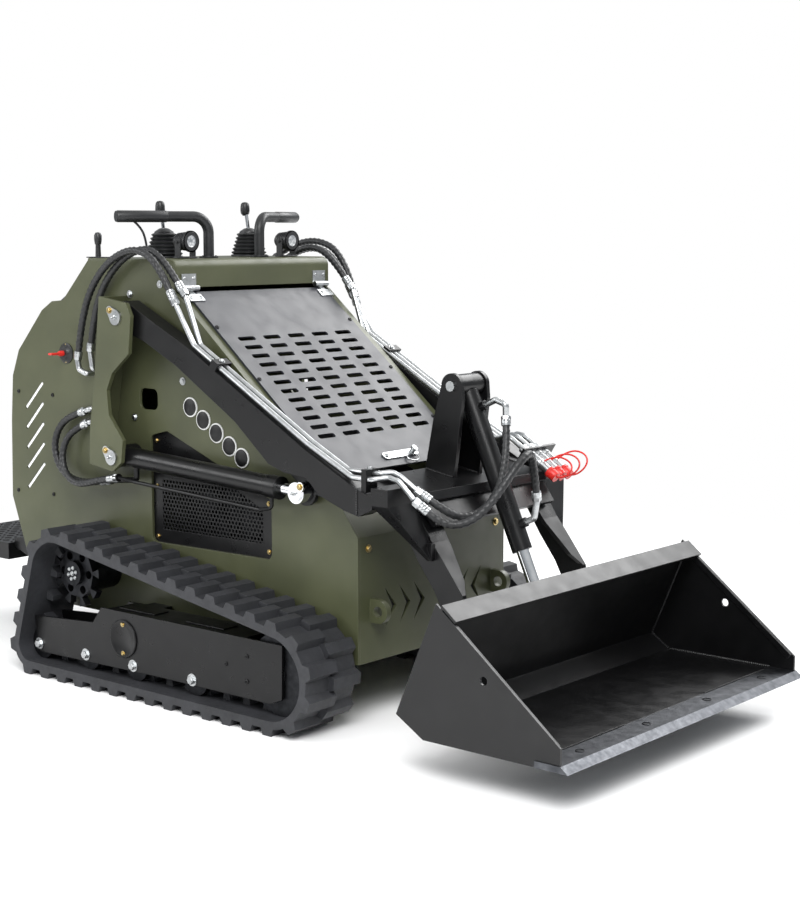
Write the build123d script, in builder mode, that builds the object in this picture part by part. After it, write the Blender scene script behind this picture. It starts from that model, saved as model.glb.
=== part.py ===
"""Stand-on compact track loader: +X forward, +Y to the machine's left, +Z up, in millimetres.

The origin is on the ground, under the middle of the machine's length and width.
Profiles seen from the side are drawn in X and Z on planes parallel to the XZ plane.
"""
import os
from math import acos, atan2, cos, degrees, hypot, radians, sin, tan

from build123d import *

os.makedirs("parts", exist_ok=True)

SIDES = (("right", -1), ("left", 1))

# Fits
PIN_FIT = 0.08
ROLL_GAP = 0.3
SEAT_GAP = 0.5
PIN_SIDE_GAP = 3.0
TUBE_GAP = 0.4

# Body
BODY_HALF = 300.0
PLATE_T = 8.0
SHEET_T = 4.0
BODY_BOTTOM = 160.0
BODY_FRONT = 472.0
BODY_TOP = 1149.0
NOSE_Z = 480.0
NOSE_TOP = (BODY_FRONT, NOSE_Z)
HOOD_FRONT = -174.0
HOOD_REAR = -523.0
HOOD_T = 6.0
HOOD_EDGE_R = 24.0
HOOD_SIDE_R = 4.0
HOOD_LAP = 12.0
REAR_LINE = (
    (-780.0, BODY_BOTTOM),
    (-852.0, 352.0),
    (-890.0, 453.0),
    (-884.0, 677.0),
    (-873.0, 810.0),
    (-842.0, 885.0),
    (-731.0, 1004.0),
    (-685.0, 1031.0),
    (-636.0, 1035.0),
)
PAD_T = 26.0
PAD_INSET = 50.0
PAD_ROUND = 9.0

# Guard plate, hinged along its top edge
GUARD_TOP = (-160.0, 1068.0)
GUARD_SLOPE = 39.9
GUARD_LENGTH = 690.0
GUARD_INSET = 30.0
GUARD_HALF = BODY_HALF - GUARD_INSET
GUARD_T = 6.0
GUARD_ROWS = 12
GUARD_COLUMNS = 5
GUARD_FIRST_ROW = 189.0
GUARD_ROW_STEP = 33.7
GUARD_COLUMN_STEP = 95.0
GUARD_SLOT = (62.0, 15.0)
GUARD_SLOT_R = 6.0
GUARD_RAIL_WIDTH = 47.0
GUARD_RAIL_INSET = 20.0
LATCH_Y = 13.0
LATCH_DOWN = 656.0
LATCH_SIZE = (138.0, 22.0)
LATCH_T = 4.0
LATCH_PIN_Y = 60.0
LATCH_PIN_R = 7.0
LATCH_PIN_HEIGHT = 16.0

# Guard hinges: a pin in front of the hood, with two fixed knuckles and one on the guard
GUARD_AXIS = (-158.0, 1078.0)
HINGE_Y = BODY_HALF - 45
HINGE_HALF = 26.0
HINGE_KNUCKLE_R = 8.0
HINGE_KNUCKLE_HALF = 9.0
HINGE_PIN_R = 3.5
HINGE_LEAF_T = 3.0
HINGE_LEAF_HEIGHT = 38.0
HINGE_SIDE_GAP = 0.5

# Side plate openings
GRILLE_CORNERS = ((-278.0, 386.0), (177.0, 390.0), (177.0, 546.0), (-213.0, 695.0), (-278.0, 679.0))
GRILLE_CORNER_R = 18.0
GRILLE_T = 5.0
GRILLE_LAP = 12.0
SQUARE_HOLE_CENTRE = (-283.0, 777.0)
SQUARE_HOLE_SIZE = (72.0, 58.0)
SQUARE_HOLE_R = 18.0
VENT_COUNT = 5
VENT_FIRST = (-776.0, 757.0)
VENT_STEP = 58.6
VENT_LENGTH = 115.0
VENT_WIDTH = 9.0
VENT_ANGLE = 44.7

# Front panel
CHEVRON_TIPS = (40.0, 97.0, 153.0)
CHEVRON_Z = 290.0
CHEVRON_RISE = 52.0
CHEVRON_RUN = 46.0
CHEVRON_WIDTH = 17.0
LUG_Y = BODY_HALF - 52
LUG_Z = 292.0
LUG_T = 16.0
LUG_REACH = 26.0
LUG_R = 30.0
LUG_HOLE_R = 14.0

# Tracks: wheels as (x, z, radius of the belt's inner face)
IDLER = (348.0, 145.0, 107.0)
SPROCKET = (-466.0, 292.0, 95.0)
REAR_ROLLER = (-582.0, 82.0, 44.0)
TRACK_WHEELS = (IDLER, SPROCKET, REAR_ROLLER)
TRACK_WIDTH = 180.0
TRACK_GAP = 15.0
TRACK_Y = BODY_HALF + TRACK_GAP + TRACK_WIDTH / 2
BELT_T = 20.0
LUG_HEIGHT = 18.0
LUG_COUNT = 36
LUG_PHASE = -0.07
LUG_BASE = 44.0
LUG_TIP = 28.0
LUG_ROW_WIDTH = 98.0
HORN_HEIGHT = 25.0
HORN_WIDTH = 32.0
HORN_BASE = 28.0
HORN_TIP = 15.0
LUG_ROOT = 2.0
PITCH_LINE = 8.0
SPROCKET_TEETH = 9
SPROCKET_T = 20.0
SPROCKET_GAP_WIDTH = 40.0
SPROCKET_GAP_DEPTH = 28.0
SPROCKET_HOLES = 6
SPROCKET_HOLE_R = 12.0
SPROCKET_HOLE_RING = 52.0
SPROCKET_HUB_R = 34.0
SPROCKET_HUB_REACH = 14.0
ROLLER_X = (REAR_ROLLER[0], -382.0, -189.0, 39.0)
ROLLER_R = REAR_ROLLER[2]
ROLLER_Z = REAR_ROLLER[1]
WHEEL_FLANGE = 18.0
WHEEL_HALF = 40.0
WHEEL_HUB_R = 16.0

# Track frame
FRAME_HALF = 52.0
FRAME_T = 8.0
FRAME_OUTLINE = (
    (-600.0, 159.0),
    (-582.0, 59.0),
    (-84.0, 68.0),
    (321.0, 68.0),
    (359.0, 85.0),
    (361.0, 222.0),
    (-315.0, 222.0),
    (-350.0, 176.0),
)
COVER_X = (-290.0, 230.0)
FRAME_BEAM_X = (-240.0, 200.0)
FRAME_BEAM = (70.0, 46.0)
FRAME_BEAM_Z = 192.0
MOTOR_R = 58.0

# Pivots, as (x, z)
ARM_PIVOT = (-308.0, 1001.0)
LIFT_FOOT = (-337.0, 622.0)
LIFT_EYE = (319.0, 585.0)
TOWER_PIN = (571.0, 845.0)
TILT_EYE = (801.0, 335.0)
BUCKET_PIVOT = (746.0, 195.0)
PIN_R = 15.0
PIN_HEAD_R = 21.0
FLAG_T = 6.0
FLAG_REACH = 27.0
FLAG_TIP_R = 12.0

# Lift arm, with the leg's single plate inboard of it
ARM_GAP = 13.0
ARM_WIDTH = 52.0
ARM_IN = BODY_HALF + ARM_GAP
ARM_OUT = ARM_IN + ARM_WIDTH
ARM_BOSS_R = 42.0
ARM_TUBE_R = 36.0
LOBE_T = 12.0
LOBE_R = 36.0
ARM_OUTLINE = (
    (-300.0, 1044.0),
    (-48.0, 924.0),
    (348.0, 701.0),
    (520.0, 617.0),
    (574.0, 600.0),
    (574.0, 569.0),
    (530.0, 549.0),
    (483.0, 560.0),
    (400.0, 590.0),
    (360.0, 628.0),
    (285.0, 634.0),
    (230.0, 652.0),
    (112.0, 750.0),
    (-106.0, 882.0),
    (-227.0, 940.0),
    (-340.0, 975.0),
)
LEG_INSET = 40.0
LEG_T = 14.0
LEG_OUT = BODY_HALF - LEG_INSET
LEG_IN = LEG_OUT - LEG_T
LEG_BOSS_R = 36.0
LEG_FRONT = ((579.0, 599.0), (636.0, 546.0), (676.0, 487.0), (720.0, 432.0), (768.0, 370.0))
LEG_FOOT_FRONT = ((772.0, 345.0), (782.0, 195.0))
LEG_REAR = ((711.0, 200.0), (704.0, 328.0), (680.0, 372.0), (630.0, 438.0), (590.0, 500.0), (520.0, 566.0))
SHOULDER = ((486.0, 572.0), (486.0, 625.0), (520.0, 616.0), (574.0, 599.5), (574.0, 572.0))
FLANGE_T = 12.0
FLANGE_WIDTH = 56.0
FLANGE_TOP = 570.0
FLANGE_TAPER = ((56.0, 540.0), (46.0, 475.0), (21.0, 397.0), (0.0, 372.0))
TONGUE_TOP = (571.0, 623.0, 580.0)
TONGUE_TIP = (670.0, 684.0, 446.0)
TONGUE_TIP_WIDTH = 15.0

# Cross member and tilt tower
CROSS_OUTLINE = (
    (486.0, 631.0),
    (592.0, 613.0),
    (642.0, 605.0),
    (650.0, 584.0),
    (640.0, 580.0),
    (676.0, 530.0),
    (664.0, 522.0),
    (618.0, 572.0),
    (500.0, 572.0),
    (486.0, 590.0),
)
TOWER_IN = 46.0
TOWER_T = 12.0
TOWER_BASE = (2.0, 96.0)
TOWER_SIDE = ((606.0, 810.0), (603.0, 845.0), (539.0, 845.0), (513.0, 756.0))
TOWER_WEB_T = 12.0
EAR_R = 32.0
TOWER_PIN_R = 13.0
PIN_END = 6.0

# Pivot bracket, outboard of the arm
BRACKET_GAP = 11.0
BRACKET_IN = ARM_OUT + BRACKET_GAP
BRACKET_T = 12.0
BRACKET_OUTLINE = (
    (-377.0, 1055.0),
    (-268.0, 1039.0),
    (-251.0, 1005.0),
    (-262.0, 905.0),
    (-330.0, 850.0),
    (-353.0, 803.0),
    (-346.0, 735.0),
    (-292.0, 671.0),
    (-300.0, 610.0),
    (-336.0, 583.0),
    (-431.0, 597.0),
    (-425.0, 700.0),
    (-400.0, 850.0),
)

# Lift cylinders, beside the body
LIFT_Y = BODY_HALF + 40
LIFT_BARREL_R = 27.0
LIFT_ROD_R = 15.0
LIFT_BARREL_START = 20.0
LIFT_BARREL_END = 588.0
LIFT_BORE_START = 60.0
LIFT_GLAND_R = 29.5
LIFT_GLAND_LENGTH = 40.0
LIFT_FOOT_R = 30.0
LIFT_EYE_R = 27.0
LIFT_EYE_IN = ARM_IN + LOBE_T + PIN_SIDE_GAP
LIFT_EYE_OUT = LIFT_EYE_IN + 32
STOP_GAP = 2.0

# Tilt cylinder
TILT_BARREL_R = 26.0
TILT_ROD_R = 16.0
TILT_BARREL_START = 20.0
TILT_BARREL_END = 443.0
TILT_BORE_START = 50.0
TILT_ROD_START = 90.0
TILT_HALF = 22.0
TILT_EYE_R = 28.0
TILT_PORTS = (69.0, 380.0)
PORT_R = 12.0
PORT_REACH = 40.0

# Steel tubes and ferrules
TUBE_R = 7.0
THIN_TUBE_R = 5.0
TUBE_BEND = 22.0
ELBOW_BEND = 10.0
BULKHEAD_BEND = 8.5
FERRULE_R = 11.0
FITTING_R = 8.0
HOSE_R = 9.0
SLEEVE_LENGTH = 42.0
SHORT_SLEEVE = 22.0
CLAMP_BACK = (80.0, 104.0)
CLAMP_FRONT_X = (536.0, 551.0)
CLAMP_FRONT_TOP = 664.0
CLAMP_HEIGHT = 22.0
CLAMP_SIDE = 5.0

# Bucket
BUCKET_HALF = 525.0
BUCKET_SIDE_T = 6.0
BUCKET_SHEET_T = 6.0
BUCKET_FLOOR = 112.0
EDGE_REAR = 1172.0
EDGE_FRONT = 1259.0
EDGE_BEVEL = 20.0
EDGE_T = 15.0
EDGE_LAP = 3.0
EDGE_HALF = BUCKET_HALF + EDGE_LAP
BUCKET_SIDE = (
    (899.6, 414.6),
    (784.0, 143.4),
    (863.0, BUCKET_FLOOR - EDGE_T),
    (EDGE_REAR, BUCKET_FLOOR - EDGE_T),
    (EDGE_REAR, BUCKET_FLOOR),
    (1237.0, BUCKET_FLOOR),
    (1237.0, 150.0),
)
BUCKET_SHEET = ((953.0, 377.0), (919.0, 404.0), (811.0, 148.0), (866.0, BUCKET_FLOOR), (EDGE_REAR, BUCKET_FLOOR))
SIDE_HOLE = (1033.0, 262.0, 10.0)

# Attachment plate, lying on the bucket's back sheet
ATTACH_T = 12.0
ATTACH_SIDE = 86.0
ATTACH_HALF = LEG_OUT + ATTACH_SIDE
ATTACH_LENGTH = 235.0
LUG_PLATE_T = 10.0
LUG_PLATE_DEPTH = 96.0
LUG_ROOT_DEPTH = 2.0
LEG_LUG_ROOT = (0.0, 95.0)
LEG_LUG_TIP = (-10.0, 50.0)
TILT_LUG_ROOT = (120.0, 215.0)
TILT_LUG_TIP = (146.0, 192.0)
PIN_PROUD = 4.0

# Operator platform
PLATFORM_HINGE = (-925.0, 300.0)
PLATFORM_REAR = -1259.0
PLATFORM_FRONT_GAP = 20.0
PLATFORM_HALF = BODY_HALF - 20
PLATFORM_T = 50.0
PLATFORM_WALL = 5.0
PLATFORM_EAR_T = 10.0
PLATFORM_EAR_Y = PLATFORM_HALF - 30
PLATFORM_EAR_R = 17.0
PLATFORM_PIN_R = 10.0
PLATFORM_EAR_REACH = 35.0
BRACKET_SEAT = (90.0, 180.0)

# Controls and lamps on the hood
HANDLE_FOOT = (-251.0, 99.0)
HANDLE_END = (-347.0, 348.0)
HANDLE_TOP = 1268.0
HANDLE_R = 14.5
HANDLE_BEND = 45.0
HANDLE_FLANGE_R = 26.0
HANDLE_FLANGE_T = 5.0
STICK_FOOT = (-359.0, 165.0)
STICK_LEAN = 14.0
BOOT_R = 48.0
BOOT_HEIGHT = 72.0
BOOT_TAPER = 14.0
STICK_R = 6.0
STICK_TOP = 1312.0
KNOB_R = 13.0
KNOB_LENGTH = 40.0
LAMP_FRONT = -215.0
LAMP_Y = 197.0
LAMP_Z = 1201.0
LAMP_R = 29.0
LAMP_LENGTH = 62.0
LAMP_TAPER = 8.0
LAMP_FOOT = (30.0, 24.0)
THROTTLE_X = -500.0
THROTTLE_INSET = 18.0
THROTTLE_R = 11.0
THROTTLE_TOP = 1226.0
ISOLATOR = (-625.0, 886.0)
ISOLATOR_R = 17.0
ISOLATOR_BODY = 14.0
ISOLATOR_KEY = (18.0, 9.0, 46.0)

# Engine: one plain block on the belly plate
ENGINE_X = (-250.0, 110.0)
ENGINE_HALF = 180.0
ENGINE_TOP = 700.0

# Auxiliary couplers on the left leg's shoulder, pointing forward and down
COUPLER_Y = (230.0, 260.0, 290.0)
COUPLER_CENTRE = (603.0, 650.0)
COUPLER_SLOPE = 32.0
COUPLER_PLATE = (140.0, 44.0)
COUPLER_PLATE_T = 6.0
COUPLER_R = 12.0
COUPLER_LENGTH = 80.0
COUPLER_NUT_R = 14.0
COUPLER_TAIL = 24.0
CAP_R = 16.0
CAP_LENGTH = 26.0
COUPLER_POST_T = 8.0

# Hose routes, listed for the left side as (x, y, z)
ARM_HOSE_OUTER = (
    (-544, 324, 895),
    (-524, 326, 985),
    (-470, 334, 1080),
    (-375, 346, 1155),
    (-270, 349, 1186),
    (-185, 350, 1150),
    (-136, 350, 1072),
)
ARM_HOSE_INNER = (
    (-490, 323, 920),
    (-474, 323, 1000),
    (-430, 324, 1087),
    (-350, 325, 1158),
    (-255, 326, 1188),
    (-180, 328, 1152),
    (-128, 328, 1092),
)
ARM_HOSE_SPARE = (
    (-594, 326, 880),
    (-583, 334, 990),
    (-520, 350, 1095),
    (-410, 366, 1175),
    (-285, 373, 1208),
    (-176, 374, 1160),
    (-138, 374, 1052),
)
LIFT_HOSE_FOOT = (
    (-547, 319, 724),
    (-600, 321, 708),
    (-643, 323, 672),
    (-660, 325, 622),
    (-643, 327, 573),
    (-600, 330, 541),
    (-545, 332, 530),
    (-490, 334, 533),
    (-440, 336, 541),
)
LIFT_HOSE_FRONT = (
    (-537, 320, 689),
    (-575, 324, 672),
    (-603, 330, 641),
    (-611, 337, 602),
    (-597, 344, 564),
    (-563, 350, 537),
    (-520, 356, 529),
    (-470, 361, 537),
    (-420, 364, 549),
    (-375, 366, 557),
)

# Tilt hose routes, on the right side
TILT_HOSE_LOW = (
    (692, -300, 570),
    (714, -286, 548),
    (745, -262, 536),
    (782, -232, 552),
    (812, -198, 598),
    (832, -160, 655),
    (838, -115, 695),
    (825, -70, 700),
    (806, -32, 665),
    (795, -8, 625),
    (793, 0, 592),
)
TILT_HOSE_HIGH = (
    (679, -275, 594),
    (706, -262, 574),
    (730, -232, 552),
    (745, -192, 552),
    (752, -150, 566),
    (748, -108, 590),
    (734, -66, 622),
    (722, -34, 668),
    (708, -10, 716),
    (700, -1, 752),
)


def side_plane(side, y):
    """The plane parallel to XZ at the distance y from the middle, on one side of the machine."""
    return Plane.XZ.offset(-side * y)


def outward(side, thickness):
    """The extrusion that grows away from the middle."""
    return -side * thickness


def polygon(points, mode=Mode.ADD):
    """A closed straight-sided face in the sketch that is being made."""
    Polygon(*points, align=None, mode=mode)


def disc(side, y, centre, radius, depth, mode=Mode.ADD):
    """A round disc or bore along Y, from the distance y outward, in the part that is being made."""
    with BuildSketch(side_plane(side, y)) as face:
        with Locations(centre[:2]):
            Circle(radius)
    extrude(face.sketch, amount=outward(side, depth), mode=mode)


def rod(start, end, radius, mode=Mode.ADD):
    """A round bar between two points, in the part that is being made."""
    way = Vector(*end) - Vector(*start)
    with BuildSketch(Plane(origin=start, z_dir=way)) as face:
        Circle(radius)
    extrude(face.sketch, amount=way.length, mode=mode)


def pipe(points, radius, bend):
    """A round tube along straight runs with one bend radius, in the part that is being made."""
    with BuildLine() as run:
        FilletPolyline(*points, radius=bend)
    with BuildSketch(Plane(run.line @ 0, z_dir=run.line % 0)) as face:
        Circle(radius)
    sweep(face.sketch, path=run.line)


def hose(name, points, radius):
    """A hose along its route, each bend as large as its two runs allow; prints how tight it is."""
    radii = []
    for before, point, after in zip(points, points[1:], points[2:]):
        coming = Vector(*point) - Vector(*before)
        going = Vector(*after) - Vector(*point)
        half_turn = radians(coming.get_angle(going)) / 2
        radii.append(0.45 * min(coming.length, going.length) / tan(half_turn))
    with BuildLine() as run:
        FilletPolyline(*points, radius=radii)
    with BuildSketch(Plane(run.line @ 0, z_dir=run.line % 0)) as face:
        Circle(radius)
    sweep(face.sketch, path=run.line)
    length = sum(edge.length for edge in run.edges())
    print(f"{name}: length {length:.0f}, radii {min(radii):.0f} to {max(radii):.0f}")
    print(f"{name}: section by length {length * face.sketch.area / 1000:.1f} cm3")


def ferrule(route, length):
    """A hose's end sleeve, in line with the route's first run; returns the sleeve's far end."""
    start = Vector(*route[0])
    way = (start - Vector(*route[1])).normalized()
    far_end = tuple(start + way * length)
    rod(route[0], far_end, FERRULE_R)
    return far_end


def mirrored(side, points):
    """The points of a route on one side of the machine."""
    return [(x, side * y, z) for x, y, z in points]


def strip(points, thickness):
    """The outline of a bent sheet that lies to the right of a path, with mitred bends."""
    offsets = []
    for i, point in enumerate(points):
        normals = []
        if i > 0:
            normals.append(right_normal(points[i - 1], point))
        if i < len(points) - 1:
            normals.append(right_normal(point, points[i + 1]))
        nx = sum(n[0] for n in normals)
        nz = sum(n[1] for n in normals)
        scale = thickness * len(normals) / (nx * nx + nz * nz)
        offsets.append((point[0] + nx * scale, point[1] + nz * scale))
    return list(points) + offsets[::-1]


def right_normal(a, b):
    """The unit normal to the right of the way from a to b."""
    length = hypot(b[0] - a[0], b[1] - a[1])
    return ((b[1] - a[1]) / length, -(b[0] - a[0]) / length)


def toward(a, b, distance):
    """The point at a distance from a, on the way to b."""
    length = hypot(b[0] - a[0], b[1] - a[1])
    return (a[0] + (b[0] - a[0]) * distance / length, a[1] + (b[1] - a[1]) * distance / length)


def height_on(line, x):
    """The height of a line that runs toward +X, at the place x."""
    for a, b in zip(line, line[1:]):
        if a[0] <= x <= b[0]:
            return a[1] + (b[1] - a[1]) * (x - a[0]) / (b[0] - a[0])
    return line[-1][1]


def along_guard(distance, height):
    """A point given by its distance down the guard's slope and its height over the guard's face."""
    slope = radians(GUARD_SLOPE)
    return (
        GUARD_TOP[0] + distance * cos(slope) + height * sin(slope),
        GUARD_TOP[1] - distance * sin(slope) + height * cos(slope),
    )


def guard_plane(height):
    """The plane over the guard's face whose X runs down the slope and whose Y runs across."""
    slope = radians(GUARD_SLOPE)
    place = along_guard(0, height)
    return Plane(origin=(place[0], 0, place[1]), x_dir=(cos(slope), 0, -sin(slope)), z_dir=(sin(slope), 0, cos(slope)))


def along_back(distance, depth):
    """A point given by its distance up the bucket's back and its depth behind the inner face."""
    low = BUCKET_SHEET[2]
    high = BUCKET_SHEET[1]
    length = hypot(high[0] - low[0], high[1] - low[1])
    ux = (high[0] - low[0]) / length
    uz = (high[1] - low[1]) / length
    return (low[0] + distance * ux - depth * uz, low[1] + distance * uz + depth * ux)


def pin_flag(side, y, pivot, heading):
    """A pin's head with its pear-shaped flag, lying on the face at the distance y."""
    tip = (pivot[0] + FLAG_REACH * cos(radians(heading)), pivot[1] + FLAG_REACH * sin(radians(heading)))
    across = (-sin(radians(heading)), cos(radians(heading)))
    corners = []
    for centre, half in ((pivot, PIN_HEAD_R), (tip, FLAG_TIP_R), (tip, -FLAG_TIP_R), (pivot, -PIN_HEAD_R)):
        corners.append((centre[0] + across[0] * half, centre[1] + across[1] * half))
    with BuildSketch(side_plane(side, y)) as face:
        with Locations(pivot):
            Circle(PIN_HEAD_R)
        with Locations(tip):
            Circle(FLAG_TIP_R)
        polygon(corners)
    extrude(face.sketch, amount=outward(side, FLAG_T))


# Side plates
seat_top = along_guard(0, -GUARD_T - SEAT_GAP)
seat_low = along_guard(GUARD_LENGTH, -GUARD_T - SEAT_GAP)
hood_corner = (HOOD_FRONT, BODY_TOP)
side_outline = [
    (BODY_FRONT, BODY_BOTTOM),
    NOSE_TOP,
    seat_low,
    seat_top,
    (HOOD_FRONT, height_on((seat_top, seat_low), HOOD_FRONT) if seat_top[0] < HOOD_FRONT else seat_top[1] + 4),
    hood_corner,
    (HOOD_REAR, BODY_TOP),
] + list(REAR_LINE[::-1])
guard_rail_in = BODY_HALF - PLATE_T - GUARD_RAIL_WIDTH

for name, side in SIDES:
    with BuildPart() as side_plate:
        with BuildSketch(side_plane(side, BODY_HALF - PLATE_T)) as outline:
            polygon(side_outline)
            fillet(outline.vertices().sort_by_distance((hood_corner[0], hood_corner[1], 0))[0], HOOD_EDGE_R - HOOD_T)
            with Locations(SQUARE_HOLE_CENTRE):
                RectangleRounded(*SQUARE_HOLE_SIZE, SQUARE_HOLE_R, mode=Mode.SUBTRACT)
            for i in range(VENT_COUNT):
                with Locations((VENT_FIRST[0], VENT_FIRST[1] - i * VENT_STEP)):
                    SlotOverall(VENT_LENGTH, VENT_WIDTH, rotation=VENT_ANGLE, mode=Mode.SUBTRACT)
        extrude(amount=outward(side, PLATE_T))
        with BuildSketch(side_plane(side, BODY_HALF - PLATE_T)) as opening:
            polygon(GRILLE_CORNERS)
            fillet(opening.vertices(), GRILLE_CORNER_R)
        extrude(amount=outward(side, PLATE_T), mode=Mode.SUBTRACT)
        with BuildSketch(side_plane(side, guard_rail_in)):
            rail_start = toward(seat_top, seat_low, GUARD_RAIL_INSET)
            rail_end = toward(seat_low, seat_top, GUARD_RAIL_INSET)
            polygon(strip([rail_start, rail_end], PLATE_T))
        extrude(amount=outward(side, GUARD_RAIL_WIDTH))
    side_plate.part.label = f"side_plate_{name}"
    export_step(side_plate.part, f"parts/side_plate_{name}.step")

# Belly plate
inner_half = BODY_HALF - PLATE_T
belly_length = BODY_FRONT - PLATE_T - REAR_LINE[0][0]
with BuildPart() as belly_plate:
    with BuildSketch(Plane.XY.offset(BODY_BOTTOM)):
        with Locations((REAR_LINE[0][0] + belly_length / 2, 0)):
            Rectangle(belly_length, 2 * inner_half)
    extrude(amount=PLATE_T)
belly_plate.part.label = "belly_plate"
export_step(belly_plate.part, "parts/belly_plate.step")

# Front panel: one bent plate between the side plates, with chevrons and two tie-down lugs
front_line = [toward(seat_low, NOSE_TOP, 20), NOSE_TOP, (BODY_FRONT, BODY_BOTTOM)]
with BuildPart() as front_panel:
    with BuildSketch(side_plane(1, -inner_half)):
        polygon(strip(front_line, PLATE_T))
    extrude(amount=outward(1, 2 * inner_half))
    with BuildSketch(Plane.YZ.offset(BODY_FRONT)):
        for tip in CHEVRON_TIPS:
            for side in (-1, 1):
                end = side * (tip + CHEVRON_RUN)
                polygon(
                    (
                        (side * tip, CHEVRON_Z),
                        (end, CHEVRON_Z + CHEVRON_RISE),
                        (side * (tip + CHEVRON_WIDTH), CHEVRON_Z),
                        (end, CHEVRON_Z - CHEVRON_RISE),
                    )
                )
    extrude(amount=-PLATE_T, mode=Mode.SUBTRACT)
    for side in (-1, 1):
        with BuildSketch(side_plane(side, LUG_Y - LUG_T / 2)):
            with Locations((BODY_FRONT + LUG_REACH, LUG_Z)):
                Circle(LUG_R)
            with Locations((BODY_FRONT + LUG_REACH / 2, LUG_Z)):
                Rectangle(LUG_REACH, 2 * LUG_R)
            with Locations((BODY_FRONT - LUG_R, LUG_Z)):
                Rectangle(2 * LUG_R, 4 * LUG_R, mode=Mode.SUBTRACT)
            with Locations((BODY_FRONT + LUG_REACH, LUG_Z)):
                Circle(LUG_HOLE_R, mode=Mode.SUBTRACT)
        extrude(amount=outward(side, LUG_T))
front_panel.part.label = "front_panel"
export_step(front_panel.part, "parts/front_panel.step")

# Hood: top and front face bent from one sheet, over the side plates
hood_top = BODY_TOP + HOOD_T
hood_face = HOOD_FRONT + HOOD_T
hood_low = GUARD_TOP[1] + HOOD_LAP
with BuildPart() as hood:
    with BuildSketch(side_plane(1, -BODY_HALF)) as outline:
        polygon(((HOOD_REAR, hood_low), (hood_face, hood_low), (hood_face, hood_top), (HOOD_REAR, hood_top)))
        fillet(outline.vertices().sort_by_distance((hood_face, hood_top, 0))[0], HOOD_EDGE_R)
        with BuildSketch(mode=Mode.SUBTRACT) as inside:
            polygon(((HOOD_REAR, hood_low), (HOOD_FRONT, hood_low), hood_corner, (HOOD_REAR, BODY_TOP)))
            fillet(inside.vertices().sort_by_distance((HOOD_FRONT, BODY_TOP, 0))[0], HOOD_EDGE_R - HOOD_T)
    extrude(amount=outward(1, 2 * BODY_HALF))
    side_edges = hood.faces().filter_by(Axis.Y).edges().filter_by(Axis.X).group_by(Axis.Z)[-1]
    fillet(side_edges, HOOD_SIDE_R)
hood.part.label = "hood"
export_step(hood.part, "parts/hood.step")

# Rear panel and dash, between the side plates
with BuildPart() as rear_panel:
    with BuildSketch(side_plane(1, -inner_half)):
        polygon(strip([toward(REAR_LINE[0], REAR_LINE[1], PLATE_T + SHEET_T)] + list(REAR_LINE[1:]), SHEET_T))
    extrude(amount=outward(1, 2 * inner_half))
rear_panel.part.label = "rear_panel"
export_step(rear_panel.part, "parts/rear_panel.step")

with BuildPart() as dash_panel:
    with BuildSketch(side_plane(1, -inner_half)):
        polygon(strip([REAR_LINE[-1], (HOOD_REAR, BODY_TOP)], SHEET_T))
    extrude(amount=outward(1, 2 * inner_half))
dash_panel.part.label = "dash_panel"
export_step(dash_panel.part, "parts/dash_panel.step")

# Thigh pad, over the rear panel's top bend
pad_line = [toward(REAR_LINE[7], REAR_LINE[8], 20), REAR_LINE[7], REAR_LINE[6], toward(REAR_LINE[6], REAR_LINE[5], 26)]
pad_half = BODY_HALF - PAD_INSET
with BuildPart() as thigh_pad:
    with BuildSketch(side_plane(1, -pad_half)) as outline:
        polygon(strip(pad_line, PAD_T))
        ends = [v for v in outline.vertices() if min(hypot(v.X - p[0], v.Y - p[1]) for p in pad_line) > PAD_T / 2]
        fillet(ends, PAD_ROUND)
    extrude(amount=outward(1, 2 * pad_half))
thigh_pad.part.label = "thigh_pad"
export_step(thigh_pad.part, "parts/thigh_pad.step")

# Side grilles, behind the openings of the side plates
with BuildPart() as side_grilles:
    for side in (-1, 1):
        with BuildSketch(side_plane(side, inner_half - GRILLE_T)):
            polygon(GRILLE_CORNERS)
            offset(amount=GRILLE_LAP)
        extrude(amount=outward(side, GRILLE_T))
side_grilles.part.label = "side_grilles"
export_step(side_grilles.part, "parts/side_grilles.step")

# Engine
with BuildPart() as engine:
    with BuildSketch(Plane.XY.offset(BODY_BOTTOM + PLATE_T)):
        with Locations((sum(ENGINE_X) / 2, 0)):
            Rectangle(ENGINE_X[1] - ENGINE_X[0], 2 * ENGINE_HALF)
    extrude(amount=ENGINE_TOP - BODY_BOTTOM - PLATE_T)
engine.part.label = "engine_block"
export_step(engine.part, "parts/engine_block.step")

# Pivot brackets: outer plate, with a web along its rear edge that reaches the side plate
for name, side in SIDES:
    with BuildPart() as bracket:
        with BuildSketch(side_plane(side, BRACKET_IN)):
            polygon(BRACKET_OUTLINE)
            for pivot in (ARM_PIVOT, LIFT_FOOT):
                with Locations(pivot):
                    Circle(PIN_R + PIN_FIT, mode=Mode.SUBTRACT)
        extrude(amount=outward(side, BRACKET_T))
        with BuildSketch(side_plane(side, BODY_HALF)):
            polygon(strip([BRACKET_OUTLINE[-3], BRACKET_OUTLINE[-2], BRACKET_OUTLINE[-1], BRACKET_OUTLINE[0]], BRACKET_T))
        extrude(amount=outward(side, BRACKET_IN - BODY_HALF))
    bracket.part.label = f"pivot_bracket_{name}"
    export_step(bracket.part, f"parts/pivot_bracket_{name}.step")

# Pivot pins, each with its flag on the bracket's outer face
with BuildPart() as pivot_pins:
    for side in (-1, 1):
        for pivot in (ARM_PIVOT, LIFT_FOOT):
            disc(side, BODY_HALF, pivot, PIN_R, BRACKET_IN + BRACKET_T - BODY_HALF)
            pin_flag(side, BRACKET_IN + BRACKET_T, pivot, 138)
pivot_pins.part.label = "pivot_pins"
export_step(pivot_pins.part, "parts/pivot_pins.step")


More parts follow.
